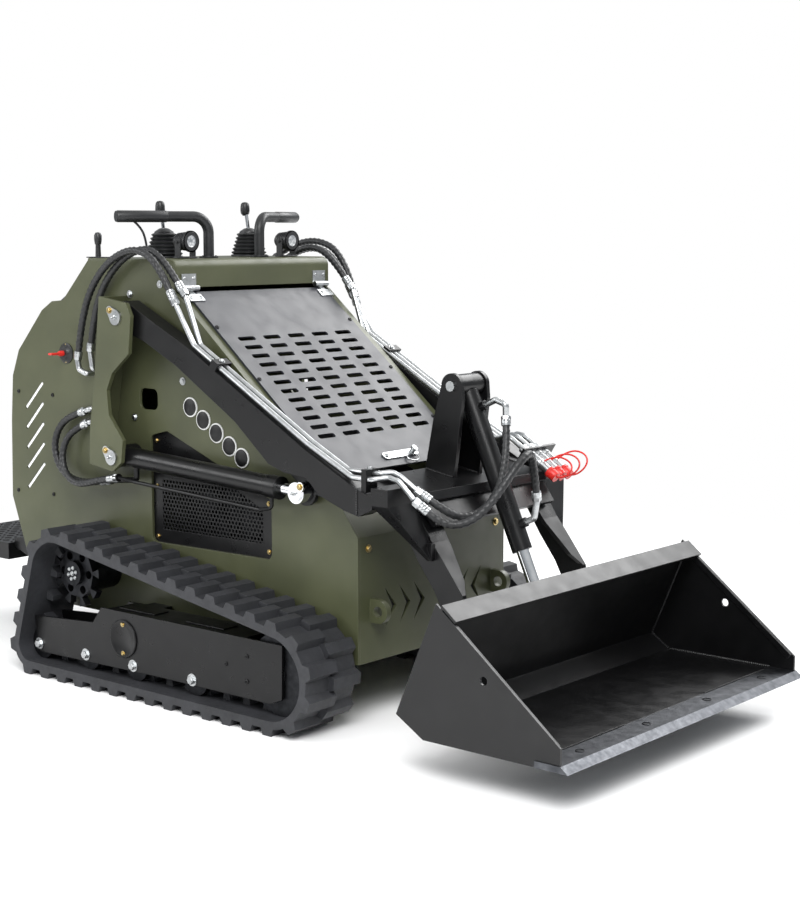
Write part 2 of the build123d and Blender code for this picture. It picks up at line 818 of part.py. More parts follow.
def run_normal(a, b):
    """The outward normal of the belt's straight run from wheel a to wheel b, going counter-clockwise."""
    length = hypot(b[0] - a[0], b[1] - a[1])
    ux = (b[0] - a[0]) / length
    uz = (b[1] - a[1]) / length
    lean = acos((a[2] - b[2]) / length)
    return (cos(lean) * ux + sin(lean) * uz, cos(lean) * uz - sin(lean) * ux)


TRACK_NORMALS = [run_normal(TRACK_WHEELS[i], TRACK_WHEELS[(i + 1) % 3]) for i in range(3)]


def track_segments(extra):
    """Arcs and runs of the loop that lies outside the belt's inner face by extra."""
    segments = []
    for i, wheel in enumerate(TRACK_WHEELS):
        start = degrees(atan2(TRACK_NORMALS[i - 1][1], TRACK_NORMALS[i - 1][0]))
        end = degrees(atan2(TRACK_NORMALS[i][1], TRACK_NORMALS[i][0]))
        segments.append(("arc", wheel, wheel[2] + extra, start, (end - start) % 360))
        after = TRACK_WHEELS[(i + 1) % 3]
        normal = TRACK_NORMALS[i]
        a = (wheel[0] + (wheel[2] + extra) * normal[0], wheel[1] + (wheel[2] + extra) * normal[1])
        b = (after[0] + (after[2] + extra) * normal[0], after[1] + (after[2] + extra) * normal[1])
        segments.append(("run", a, b, normal))
    return segments


def track_face(extra, mode=Mode.ADD):
    """The face inside the loop that lies outside the belt's inner face by extra."""
    with BuildLine() as loop:
        for segment in track_segments(extra):
            if segment[0] == "arc":
                CenterArc(segment[1][:2], segment[2], segment[3], segment[4])
            else:
                Line(segment[1], segment[2])
    make_face(loop.edges(), mode=mode)


def track_points(count, phase):
    """Points evenly spaced along the pitch line, moved to the belt's inner face, with the normal's angle."""
    segments = track_segments(PITCH_LINE)
    lengths = []
    for segment in segments:
        if segment[0] == "arc":
            lengths.append(segment[2] * radians(segment[4]))
        else:
            lengths.append(hypot(segment[2][0] - segment[1][0], segment[2][1] - segment[1][1]))
    total = sum(lengths)
    points = []
    for i in range(count):
        s = (i + phase) * total / count % total
        k = 0
        while s > lengths[k]:
            s -= lengths[k]
            k += 1
        segment = segments[k]
        if segment[0] == "arc":
            angle = segment[3] + degrees(s / segment[2])
            x = segment[1][0] + segment[1][2] * cos(radians(angle))
            z = segment[1][1] + segment[1][2] * sin(radians(angle))
        else:
            angle = degrees(atan2(segment[3][1], segment[3][0]))
            share = s / lengths[k]
            x = segment[1][0] + share * (segment[2][0] - segment[1][0]) - PITCH_LINE * segment[3][0]
            z = segment[1][1] + share * (segment[2][1] - segment[1][1]) - PITCH_LINE * segment[3][1]
        points.append((x, z, angle))
    return points


def block(x, z, angle, low, high, base, tip):
    """A tapered block on the loop, from low to high over the belt's inner face."""
    nx, nz = cos(radians(angle)), sin(radians(angle))
    corners = []
    for level, half in ((low, base / 2), (high, tip / 2), (high, -tip / 2), (low, -base / 2)):
        corners.append((x + nx * level - nz * half, z + nz * level + nx * half))
    polygon(corners)


# Tracks: belt, two rows of lugs half a pitch apart, and a row of horns inside
belt_out = BELT_T + LUG_HEIGHT
track_in = TRACK_Y - TRACK_WIDTH / 2
outer_row = track_in + TRACK_WIDTH - LUG_ROW_WIDTH
horns = track_points(LUG_COUNT, LUG_PHASE)
for name, side in SIDES:
    with BuildPart() as track:
        with BuildSketch(side_plane(side, track_in)):
            track_face(BELT_T)
            track_face(0, mode=Mode.SUBTRACT)
        extrude(amount=outward(side, TRACK_WIDTH))
        for row_y, shift in ((outer_row, 0.0), (track_in, 0.5)):
            with BuildSketch(side_plane(side, row_y)):
                for x, z, angle in track_points(LUG_COUNT, LUG_PHASE + shift):
                    block(x, z, angle, BELT_T - LUG_ROOT, belt_out, LUG_BASE, LUG_TIP)
                with Locations((0, -LUG_BASE)):
                    Rectangle(4 * -SPROCKET[0], 2 * LUG_BASE, mode=Mode.SUBTRACT)
            extrude(amount=outward(side, LUG_ROW_WIDTH))
        with BuildSketch(side_plane(side, TRACK_Y - HORN_WIDTH / 2)):
            for x, z, angle in horns:
                block(x, z, angle, LUG_ROOT, -HORN_HEIGHT, HORN_BASE, HORN_TIP)
        extrude(amount=outward(side, HORN_WIDTH))
    track.part.label = f"track_{name}"
    export_step(track.part, f"parts/track_{name}.step")


def wheel_pair(x, z, radius):
    """Two flanges on a hub, on both sides of the machine, added to the part that is being made."""
    for side in (-1, 1):
        for inner in (-WHEEL_HALF, WHEEL_HALF - WHEEL_FLANGE):
            disc(side, TRACK_Y + inner, (x, z), radius - ROLL_GAP, WHEEL_FLANGE)
        disc(side, TRACK_Y - FRAME_HALF + FRAME_T, (x, z), WHEEL_HUB_R, 2 * (FRAME_HALF - FRAME_T))


with BuildPart() as track_rollers:
    for x in ROLLER_X:
        wheel_pair(x, ROLLER_Z, ROLLER_R)
track_rollers.part.label = "track_rollers"
export_step(track_rollers.part, "parts/track_rollers.step")

with BuildPart() as idler_wheels:
    wheel_pair(*IDLER)
idler_wheels.part.label = "idler_wheels"
export_step(idler_wheels.part, "parts/idler_wheels.step")

# Drive sprockets: toothed discs whose gaps hold the horns
sprocket_horns = []
for x, z, angle in horns:
    if abs(hypot(x - SPROCKET[0], z - SPROCKET[1]) - SPROCKET[2]) < 0.5:
        sprocket_horns.append(angle)
gap_angle = sprocket_horns[len(sprocket_horns) // 2]
gap_middle = SPROCKET[2] - SPROCKET_GAP_DEPTH / 2
with BuildPart() as drive_sprockets:
    for side in (-1, 1):
        with BuildSketch(side_plane(side, TRACK_Y - SPROCKET_T / 2)):
            with Locations(SPROCKET[:2]):
                Circle(SPROCKET[2] - ROLL_GAP)
                with PolarLocations(gap_middle, SPROCKET_TEETH, start_angle=gap_angle):
                    Rectangle(SPROCKET_GAP_DEPTH, SPROCKET_GAP_WIDTH, mode=Mode.SUBTRACT)
                with PolarLocations(SPROCKET_HOLE_RING, SPROCKET_HOLES):
                    Circle(SPROCKET_HOLE_R, mode=Mode.SUBTRACT)
        extrude(amount=outward(side, SPROCKET_T))
        disc(side, TRACK_Y + SPROCKET_T / 2, SPROCKET, SPROCKET_HUB_R, SPROCKET_HUB_REACH)
drive_sprockets.part.label = "drive_sprockets"
export_step(drive_sprockets.part, "parts/drive_sprockets.step")

# Drive motors, from the side plate to the sprocket
motor_reach = TRACK_Y - SPROCKET_T / 2 - BODY_HALF
with BuildPart() as drive_motors:
    for side in (-1, 1):
        disc(side, BODY_HALF, SPROCKET, MOTOR_R, motor_reach)
drive_motors.part.label = "drive_motors"
export_step(drive_motors.part, "parts/drive_motors.step")

# Track frames: two plates, a cover and two beams to the body
for name, side in SIDES:
    with BuildPart() as track_frame:
        for inner in (-FRAME_HALF, FRAME_HALF - FRAME_T):
            with BuildSketch(side_plane(side, TRACK_Y + inner)):
                polygon(FRAME_OUTLINE)
            extrude(amount=outward(side, FRAME_T))
        with BuildSketch(side_plane(side, TRACK_Y - FRAME_HALF)):
            with Locations((sum(COVER_X) / 2, FRAME_OUTLINE[5][1] - FRAME_T / 2)):
                Rectangle(COVER_X[1] - COVER_X[0], FRAME_T)
        extrude(amount=outward(side, 2 * FRAME_HALF))
        for x in FRAME_BEAM_X:
            with BuildSketch(side_plane(side, BODY_HALF)):
                with Locations((x, FRAME_BEAM_Z)):
                    Rectangle(*FRAME_BEAM)
            extrude(amount=outward(side, TRACK_Y - FRAME_HALF - BODY_HALF))
    track_frame.part.label = f"track_frame_{name}"
    export_step(track_frame.part, f"parts/track_frame_{name}.step")

# Guard plate: the slope over the engine, with rows of slots
first_slot = GUARD_FIRST_ROW + GUARD_ROW_STEP * (GUARD_ROWS - 1) / 2
with BuildPart() as guard_plate:
    with BuildSketch(guard_plane(-GUARD_T)):
        with Locations((GUARD_LENGTH / 2, 0)):
            Rectangle(GUARD_LENGTH, 2 * GUARD_HALF)
        with Locations((first_slot, 0)):
            with GridLocations(GUARD_ROW_STEP, GUARD_COLUMN_STEP, GUARD_ROWS, GUARD_COLUMNS):
                RectangleRounded(GUARD_SLOT[1], GUARD_SLOT[0], GUARD_SLOT_R, mode=Mode.SUBTRACT)
    extrude(amount=GUARD_T)
guard_plate.part.label = "guard_plate"
export_step(guard_plate.part, "parts/guard_plate.step")

# Guard latch: a strip and its turning pin, near the guard's lower edge
with BuildPart() as guard_latch:
    with BuildSketch(guard_plane(0)):
        with Locations((LATCH_DOWN, LATCH_Y)):
            SlotOverall(*LATCH_SIZE, rotation=90)
    extrude(amount=LATCH_T)
    with BuildSketch(guard_plane(0)):
        with Locations((LATCH_DOWN, LATCH_PIN_Y)):
            Circle(LATCH_PIN_R)
    extrude(amount=LATCH_PIN_HEIGHT)
guard_latch.part.label = "guard_latch"
export_step(guard_latch.part, "parts/guard_latch.step")

# Guard hinges
fixed_knuckle = HINGE_HALF - HINGE_KNUCKLE_HALF
with BuildPart() as hood_hinges:
    for side in (-1, 1):
        with BuildSketch(side_plane(side, HINGE_Y - HINGE_HALF)):
            with Locations((hood_face + HINGE_LEAF_T / 2, GUARD_AXIS[1] + HINGE_LEAF_HEIGHT / 2)):
                Rectangle(HINGE_LEAF_T, HINGE_LEAF_HEIGHT)
        extrude(amount=outward(side, 2 * HINGE_HALF))
        disc(side, HINGE_Y - HINGE_HALF, GUARD_AXIS, HINGE_KNUCKLE_R, fixed_knuckle)
        disc(side, HINGE_Y + HINGE_KNUCKLE_HALF, GUARD_AXIS, HINGE_KNUCKLE_R, fixed_knuckle)
        clear_r = HINGE_KNUCKLE_R + HINGE_SIDE_GAP
        disc(side, HINGE_Y - HINGE_KNUCKLE_HALF, GUARD_AXIS, clear_r, 2 * HINGE_KNUCKLE_HALF, mode=Mode.SUBTRACT)
        disc(side, HINGE_Y - HINGE_HALF, GUARD_AXIS, HINGE_PIN_R, 2 * HINGE_HALF)
hood_hinges.part.label = "hood_hinges"
export_step(hood_hinges.part, "parts/hood_hinges.step")

knuckle_half = HINGE_KNUCKLE_HALF - HINGE_SIDE_GAP
leaf_start = HINGE_KNUCKLE_R + 4
with BuildPart() as guard_hinges:
    for side in (-1, 1):
        with BuildSketch(side_plane(side, HINGE_Y - HINGE_HALF)):
            polygon(
                (
                    along_guard(leaf_start, 0),
                    along_guard(leaf_start, HINGE_LEAF_T),
                    along_guard(HINGE_LEAF_HEIGHT, HINGE_LEAF_T),
                    along_guard(HINGE_LEAF_HEIGHT, 0),
                )
            )
        extrude(amount=outward(side, 2 * HINGE_HALF))
        with BuildSketch(side_plane(side, HINGE_Y - knuckle_half)):
            polygon(
                (
                    along_guard(2 - HINGE_KNUCKLE_R, 0),
                    along_guard(2 - HINGE_KNUCKLE_R, HINGE_LEAF_T),
                    along_guard(leaf_start + 2, HINGE_LEAF_T),
                    along_guard(leaf_start + 2, 0),
                )
            )
            with Locations(GUARD_AXIS):
                Circle(HINGE_KNUCKLE_R)
                Circle(HINGE_PIN_R + PIN_FIT, mode=Mode.SUBTRACT)
        extrude(amount=outward(side, 2 * knuckle_half))
guard_hinges.part.label = "guard_hinges"
export_step(guard_hinges.part, "parts/guard_hinges.step")

# Steel tubes along the arm's top
ARM_TOP = ARM_OUTLINE[:5]
tube_rise = TUBE_R + TUBE_GAP + 4


def arm_tube(side, hose_route, y, end_points):
    """One tube from a hose's ferrule, down on to the arm's top and along it to its end points."""
    sleeve_end = ferrule(mirrored(side, hose_route)[::-1], SLEEVE_LENGTH)
    landing = (ARM_TOP[1][0], side * y, ARM_TOP[1][1] + tube_rise)
    bend = (ARM_TOP[2][0], side * y, ARM_TOP[2][1] + tube_rise)
    pipe([sleeve_end, landing, bend] + end_points, TUBE_R, TUBE_BEND)


right_tubes = (
    (ARM_HOSE_OUTER, [(500, 350, 640), (562, 350, 640), (590, 324, 645), (618, 318, 638)], TILT_HOSE_LOW),
    (ARM_HOSE_INNER, [(470, 328, 652), (560, 328, 652), (588, 306, 656), (612, 300, 645)], TILT_HOSE_HIGH),
)
with BuildPart() as tubes_right:
    for hose_route, line, tilt_route in right_tubes:
        tilt_sleeve = ferrule(tilt_route, SLEEVE_LENGTH)
        arm_tube(-1, hose_route, hose_route[-1][1], mirrored(-1, line) + [tilt_sleeve])
tubes_right.part.label = "arm_tubes_right"
export_step(tubes_right.part, "parts/arm_tubes_right.step")

coupler_way = (cos(radians(COUPLER_SLOPE)), -sin(radians(COUPLER_SLOPE)))


def coupler_point(distance, y):
    """A point on a coupler's axis, by its distance in front of the plate's rear face."""
    return (COUPLER_CENTRE[0] + distance * coupler_way[0], y, COUPLER_CENTRE[1] + distance * coupler_way[1])


left_tubes = (
    (ARM_HOSE_INNER, 318.0, COUPLER_Y[0]),
    (ARM_HOSE_OUTER, 339.0, COUPLER_Y[1]),
    (ARM_HOSE_SPARE, 357.0, COUPLER_Y[2]),
)
with BuildPart() as tubes_left:
    for hose_route, y, coupler_y in left_tubes:
        tail = coupler_point(-COUPLER_TAIL, coupler_y)
        lead = coupler_point(-COUPLER_TAIL - 46, coupler_y)
        crest = (lead[0] - 46, (y + coupler_y) / 2, lead[2] - 2)
        leaving_x = lead[0] - 104
        leaving = (leaving_x, y, height_on(ARM_TOP, leaving_x) + tube_rise)
        arm_tube(1, hose_route, y, [leaving, crest, lead, tail])
tubes_left.part.label = "arm_tubes_left"
export_step(tubes_left.part, "parts/arm_tubes_left.step")


def tube_clamp(side, inner_y, outer_y):
    """A clamp block on the arm's top, in the part that is being made."""
    a = toward(ARM_TOP[1], ARM_TOP[2], CLAMP_BACK[0])
    b = toward(ARM_TOP[1], ARM_TOP[2], CLAMP_BACK[1])
    with BuildSketch(side_plane(side, inner_y)) as face:
        polygon(strip([b, a], CLAMP_HEIGHT))
    extrude(face.sketch, amount=outward(side, outer_y - inner_y))


# Lift arms
shoulder_gap = ARM_IN - LEG_OUT
pivot_tube = BRACKET_IN - BODY_HALF - 2 * PIN_SIDE_GAP
leg_outline = SHOULDER[:3] + LEG_FRONT + LEG_FOOT_FRONT + LEG_REAR
for name, side in SIDES:
    with BuildPart() as arm:
        with BuildSketch(side_plane(side, ARM_IN)):
            polygon(ARM_OUTLINE)
            with Locations(ARM_PIVOT):
                Circle(ARM_BOSS_R)
        extrude(amount=outward(side, ARM_WIDTH))
        with BuildSketch(side_plane(side, ARM_IN)):
            with Locations(LIFT_EYE):
                Circle(LOBE_R)
            polygon((ARM_OUTLINE[12], ARM_OUTLINE[7], toward(LIFT_EYE, ARM_OUTLINE[7], LOBE_R), LIFT_EYE))
        extrude(amount=outward(side, LOBE_T))
        with BuildSketch(side_plane(side, LEG_IN)):
            polygon(leg_outline)
            with Locations(BUCKET_PIVOT):
                Circle(LEG_BOSS_R)
        extrude(amount=outward(side, LEG_T))
        with BuildSketch(side_plane(side, LEG_OUT)):
            polygon(SHOULDER)
        extrude(amount=outward(side, shoulder_gap))
        with BuildSketch(side_plane(side, LEG_IN - FLANGE_WIDTH)):
            polygon(strip(LEG_FRONT, FLANGE_T))
            with Locations((LEG_FRONT[0][0], FLANGE_TOP + 50)):
                Rectangle(200, 100, mode=Mode.SUBTRACT)
        extrude(amount=outward(side, FLANGE_WIDTH))
        with BuildSketch(Plane.YZ.offset(LEG_FRONT[0][0] - 40)):
            taper = [(side * (LEG_IN - width), z) for width, z in FLANGE_TAPER]
            low = LEG_FRONT[-1][1] - 20
            inner = side * (LEG_IN - FLANGE_WIDTH - 5)
            polygon([(inner, FLANGE_TAPER[0][1])] + taper + [(side * LEG_IN, low), (inner, low)])
        extrude(amount=300, mode=Mode.SUBTRACT)
        with BuildSketch(Plane.XY.offset(TONGUE_TOP[2])) as top:
            with Locations(((TONGUE_TOP[0] + TONGUE_TOP[1]) / 2, side * (LEG_OUT + ARM_OUT) / 2)):
                Rectangle(TONGUE_TOP[1] - TONGUE_TOP[0], ARM_OUT - LEG_OUT)
        with BuildSketch(Plane.XY.offset(TONGUE_TIP[2])) as tip:
            with Locations(((TONGUE_TIP[0] + TONGUE_TIP[1]) / 2, side * (LEG_OUT + TONGUE_TIP_WIDTH / 2))):
                Rectangle(TONGUE_TIP[1] - TONGUE_TIP[0], TONGUE_TIP_WIDTH)
        loft([top.sketch, tip.sketch])
        tube_clamp(side, ARM_IN, ARM_OUT)
        clamp_ways = [row[1] for row in left_tubes]
        if side < 0:
            clamp_base = [(x, height_on(ARM_TOP, x) - 2) for x in CLAMP_FRONT_X]
            with BuildSketch(side_plane(side, ARM_IN + CLAMP_SIDE)):
                polygon(clamp_base + [(CLAMP_FRONT_X[1], CLAMP_FRONT_TOP), (CLAMP_FRONT_X[0], CLAMP_FRONT_TOP)])
            extrude(amount=outward(side, ARM_WIDTH - 2 * CLAMP_SIDE))
            clamp_ways = [row[0][-1][1] for row in right_tubes]
            for row in right_tubes:
                rod(*mirrored(side, row[1][:2]), TUBE_R + TUBE_GAP, mode=Mode.SUBTRACT)
        for y in clamp_ways:
            run_start = (ARM_TOP[1][0], side * y, ARM_TOP[1][1] + tube_rise)
            run_end = (ARM_TOP[2][0], side * y, ARM_TOP[2][1] + tube_rise)
            rod(run_start, run_end, TUBE_R + TUBE_GAP, mode=Mode.SUBTRACT)
        disc(side, BODY_HALF + PIN_SIDE_GAP, ARM_PIVOT, ARM_TUBE_R, pivot_tube)
        disc(side, BODY_HALF, ARM_PIVOT, PIN_R + PIN_FIT, BRACKET_IN - BODY_HALF, mode=Mode.SUBTRACT)
        disc(side, LEG_IN, BUCKET_PIVOT, PIN_R + PIN_FIT, LEG_T, mode=Mode.SUBTRACT)
    arm.part.label = f"lift_arm_{name}"
    export_step(arm.part, f"parts/lift_arm_{name}.step")

# Cross member between the legs
with BuildPart() as cross_member:
    with BuildSketch(side_plane(1, -LEG_IN)):
        polygon(CROSS_OUTLINE)
    extrude(amount=outward(1, 2 * LEG_IN))
cross_member.part.label = "cross_member"
export_step(cross_member.part, "parts/cross_member.step")

# Tilt tower: two ear plates with a web between them
tower_rear = toward(CROSS_OUTLINE[0], CROSS_OUTLINE[1], TOWER_BASE[0])
tower_front = toward(CROSS_OUTLINE[0], CROSS_OUTLINE[1], TOWER_BASE[1])
with BuildPart() as tilt_tower:
    for side in (-1, 1):
        with BuildSketch(side_plane(side, TOWER_IN)):
            polygon((tower_rear, tower_front) + TOWER_SIDE)
            with Locations(TOWER_PIN):
                Circle(EAR_R)
                Circle(TOWER_PIN_R + PIN_FIT, mode=Mode.SUBTRACT)
        extrude(amount=outward(side, TOWER_T))
    with BuildSketch(side_plane(1, -TOWER_IN)):
        web_foot = toward(CROSS_OUTLINE[0], CROSS_OUTLINE[1], TOWER_BASE[0] + TOWER_WEB_T)
        web_head = (TOWER_SIDE[3][0] + TOWER_WEB_T, TOWER_SIDE[3][1])
        polygon((tower_rear, web_foot, web_head, TOWER_SIDE[3]))
    extrude(amount=outward(1, 2 * TOWER_IN))
tilt_tower.part.label = "tilt_tower"
export_step(tilt_tower.part, "parts/tilt_tower.step")

# Tower pin
pin_half = TOWER_IN + TOWER_T + PIN_END
with BuildPart() as tower_pin:
    disc(1, -pin_half, TOWER_PIN, TOWER_PIN_R, 2 * pin_half)
tower_pin.part.label = "tower_pin"
export_step(tower_pin.part, "parts/tower_pin.step")

# Coupler plate on a post that stands on the left shoulder
post_y = (COUPLER_Y[1] + COUPLER_Y[2]) / 2 - COUPLER_POST_T / 2
coupler_plane = Plane(origin=coupler_point(0, COUPLER_Y[1]), x_dir=(0, 1, 0), z_dir=(coupler_way[0], 0, coupler_way[1]))
with BuildPart() as coupler_bracket:
    with BuildSketch(coupler_plane):
        Rectangle(*COUPLER_PLATE)
        for y in COUPLER_Y:
            with Locations((y - COUPLER_Y[1], 0)):
                Circle(COUPLER_R + TUBE_GAP, mode=Mode.SUBTRACT)
    extrude(amount=COUPLER_PLATE_T)
    with BuildSketch(side_plane(1, post_y)):
        foot_a = toward(SHOULDER[2], SHOULDER[3], 14)
        foot_b = toward(SHOULDER[2], SHOULDER[3], 50)
        head = coupler_point(1, 0)
        low_edge = COUPLER_PLATE[1] / 2
        high_edge = COUPLER_R + 2
        head_a = (head[0] + coupler_way[1] * low_edge, head[2] - coupler_way[0] * low_edge)
        head_b = (head[0] + coupler_way[1] * high_edge, head[2] - coupler_way[0] * high_edge)
        polygon((foot_a, foot_b, head_a, head_b))
    extrude(amount=outward(1, COUPLER_POST_T))
coupler_bracket.part.label = "coupler_bracket"
export_step(coupler_bracket.part, "parts/coupler_bracket.step")

# Quick couplers, each with a nut on the plate's front, and their caps
with BuildPart() as quick_couplers:
    for y in COUPLER_Y:
        rod(coupler_point(-COUPLER_TAIL, y), coupler_point(COUPLER_LENGTH, y), COUPLER_R)
        rod(coupler_point(COUPLER_PLATE_T, y), coupler_point(COUPLER_PLATE_T + 10, y), COUPLER_NUT_R)
quick_couplers.part.label = "quick_couplers"
export_step(quick_couplers.part, "parts/quick_couplers.step")

with BuildPart() as coupler_caps:
    for y in COUPLER_Y:
        rod(coupler_point(COUPLER_LENGTH, y), coupler_point(COUPLER_LENGTH + CAP_LENGTH, y), COUPLER_NUT_R)
coupler_caps.part.label = "coupler_caps"
export_step(coupler_caps.part, "parts/coupler_caps.step")

# Fittings on the side plates, where the hoses leave the body
fittings = [
    (ARM_HOSE_OUTER, [(-513, 323, 835), (-543, 323, 846)]),
    (ARM_HOSE_INNER, [(-485, 323, 849)]),
    (LIFT_HOSE_FOOT, [(-505, 319, 737)]),
    (LIFT_HOSE_FRONT, [(-500, 320, 700)]),
]
spare_fitting = (ARM_HOSE_SPARE, [(-541, 323, 815), (-588, 324, 828)])
with BuildPart() as bulkhead_fittings:
    for side in (-1, 1):
        for hose_route, elbow in fittings + ([spare_fitting] if side > 0 else []):
            sleeve_end = ferrule(mirrored(side, hose_route), SHORT_SLEEVE)
            foot = (elbow[0][0], side * BODY_HALF, elbow[0][2])
            pipe([foot] + mirrored(side, elbow) + [sleeve_end], FITTING_R, BULKHEAD_BEND)
bulkhead_fittings.part.label = "bulkhead_fittings"
export_step(bulkhead_fittings.part, "parts/bulkhead_fittings.step")

# Hoses
for name, side in SIDES:
    routes = [ARM_HOSE_OUTER, ARM_HOSE_INNER] + ([ARM_HOSE_SPARE] if side > 0 else [])
    with BuildPart() as arm_hoses:
        for route in routes:
            hose(f"arm_hoses_{name}", mirrored(side, route), HOSE_R)
    arm_hoses.part.label = f"arm_hoses_{name}"
    export_step(arm_hoses.part, f"parts/arm_hoses_{name}.step")
    with BuildPart() as lift_hoses:
        for route in (LIFT_HOSE_FOOT, LIFT_HOSE_FRONT):
            hose(f"lift_hoses_{name}", mirrored(side, route), HOSE_R)
    lift_hoses.part.label = f"lift_hoses_{name}"
    export_step(lift_hoses.part, f"parts/lift_hoses_{name}.step")

with BuildPart() as tilt_hoses:
    hose("tilt_hoses", TILT_HOSE_LOW, HOSE_R)
    hose("tilt_hoses", TILT_HOSE_HIGH, HOSE_R)
tilt_hoses.part.label = "tilt_hoses"
export_step(tilt_hoses.part, "parts/tilt_hoses.step")


def cylinder_plane(start, end, y):
    """A plane across the line from start to end, whose normal points along it."""
    dx = end[0] - start[0]
    dz = end[1] - start[1]
    return Plane(origin=(start[0], y, start[1]), x_dir=(0, 1, 0), z_dir=(dx, 0, dz))


# Lift cylinders, with their feed tubes under the barrel
lift_reach = hypot(LIFT_EYE[0] - LIFT_FOOT[0], LIFT_EYE[1] - LIFT_FOOT[1])
foot_port = toward(LIFT_FOOT, LIFT_EYE, 44)
front_port = toward(LIFT_FOOT, LIFT_EYE, 555)
for name, side in SIDES:
    across = cylinder_plane(LIFT_FOOT, LIFT_EYE, side * LIFT_Y)
    with BuildPart() as lift_barrel:
        with BuildSketch(across.offset(LIFT_BARREL_START)):
            Circle(LIFT_BARREL_R)
        extrude(amount=LIFT_BARREL_END - LIFT_BARREL_START)
        with BuildSketch(across.offset(LIFT_BARREL_END - LIFT_GLAND_LENGTH)):
            Circle(LIFT_GLAND_R)
        extrude(amount=LIFT_GLAND_LENGTH)
        disc(side, BODY_HALF + PIN_SIDE_GAP, LIFT_FOOT, LIFT_FOOT_R, pivot_tube)
        foot_feed = [(foot_port[0], LIFT_Y, foot_port[1] - 60), (foot_port[0], LIFT_Y, foot_port[1] - 20)]
        foot_sleeve = ferrule(mirrored(side, LIFT_HOSE_FOOT)[::-1], SLEEVE_LENGTH)
        pipe([foot_sleeve] + mirrored(side, foot_feed), FITTING_R, ELBOW_BEND)
        front_feed = [
            (-290, 354, 556),
            (front_port[0] - 30, 352, front_port[1] - 62),
            (front_port[0], LIFT_Y, front_port[1] - 56),
            (front_port[0], LIFT_Y, front_port[1] - 20),
        ]
        front_sleeve = ferrule(mirrored(side, LIFT_HOSE_FRONT)[::-1], SLEEVE_LENGTH)
        pipe([front_sleeve] + mirrored(side, front_feed), THIN_TUBE_R, ELBOW_BEND)
        disc(side, BODY_HALF, LIFT_FOOT, PIN_R + PIN_FIT, BRACKET_IN - BODY_HALF, mode=Mode.SUBTRACT)
        with BuildSketch(across.offset(LIFT_BORE_START)):
            Circle(LIFT_ROD_R + PIN_FIT)
        extrude(amount=LIFT_BARREL_END, mode=Mode.SUBTRACT)
    lift_barrel.part.label = f"lift_barrel_{name}"
    export_step(lift_barrel.part, f"parts/lift_barrel_{name}.step")
    with BuildPart() as lift_rod:
        with BuildSketch(across.offset(LIFT_BORE_START + STOP_GAP)):
            Circle(LIFT_ROD_R)
        extrude(amount=lift_reach - LIFT_BORE_START - STOP_GAP)
        disc(side, LIFT_EYE_IN, LIFT_EYE, LIFT_EYE_R, LIFT_EYE_OUT - LIFT_EYE_IN)
        pin_flag(side, LIFT_EYE_OUT, LIFT_EYE, 42)
    lift_rod.part.label = f"lift_rod_{name}"
    export_step(lift_rod.part, f"parts/lift_rod_{name}.step")

# Tilt cylinder
tilt_across = cylinder_plane(TOWER_PIN, TILT_EYE, 0)
tilt_reach = hypot(TILT_EYE[0] - TOWER_PIN[0], TILT_EYE[1] - TOWER_PIN[1])
tilt_way = ((TILT_EYE[0] - TOWER_PIN[0]) / tilt_reach, (TILT_EYE[1] - TOWER_PIN[1]) / tilt_reach)


def beside_tilt(distance, reach):
    """A point by its distance along the tilt cylinder and its reach in front of the axis."""
    return (
        TOWER_PIN[0] + distance * tilt_way[0] - reach * tilt_way[1],
        0,
        TOWER_PIN[1] + distance * tilt_way[1] + reach * tilt_way[0],
    )


with BuildPart() as tilt_barrel:
    with BuildSketch(tilt_across.offset(TILT_BARREL_START)):
        Circle(TILT_BARREL_R)
    extrude(amount=TILT_BARREL_END - TILT_BARREL_START)
    disc(1, PIN_SIDE_GAP - TOWER_IN, TOWER_PIN, EAR_R - 4, 2 * (TOWER_IN - PIN_SIDE_GAP))
    for distance in TILT_PORTS:
        rod(beside_tilt(distance, 0), beside_tilt(distance, PORT_REACH), PORT_R)
    disc(1, -TOWER_IN, TOWER_PIN, TOWER_PIN_R + PIN_FIT, 2 * TOWER_IN, mode=Mode.SUBTRACT)
    with BuildSketch(tilt_across.offset(TILT_BORE_START)):
        Circle(TILT_ROD_R + PIN_FIT)
    extrude(amount=TILT_BARREL_END, mode=Mode.SUBTRACT)
tilt_barrel.part.label = "tilt_barrel"
export_step(tilt_barrel.part, "parts/tilt_barrel.step")

# Elbows and ferrules in front of the tilt barrel
with BuildPart() as tilt_fittings:
    for distance, reach, elbow, hose_route in (
        (TILT_PORTS[0], PORT_REACH + 34, [(698, 0, 803)], TILT_HOSE_HIGH),
        (TILT_PORTS[1], PORT_REACH + 26, [], TILT_HOSE_LOW),
    ):
        sleeve_end = ferrule(hose_route[::-1], SHORT_SLEEVE)
        port = beside_tilt(distance, PORT_REACH)
        pipe([port, beside_tilt(distance, reach)] + elbow + [sleeve_end], FITTING_R, ELBOW_BEND)
tilt_fittings.part.label = "tilt_fittings"
export_step(tilt_fittings.part, "parts/tilt_fittings.step")

with BuildPart() as tilt_rod:
    with BuildSketch(tilt_across.offset(TILT_ROD_START)):
        Circle(TILT_ROD_R)
    extrude(amount=tilt_reach - TILT_ROD_START)
    disc(1, -TILT_HALF, TILT_EYE, TILT_EYE_R, 2 * TILT_HALF)
    disc(1, -TILT_HALF, TILT_EYE, PIN_R, 2 * TILT_HALF, mode=Mode.SUBTRACT)
tilt_rod.part.label = "tilt_rod"
export_step(tilt_rod.part, "parts/tilt_rod.step")

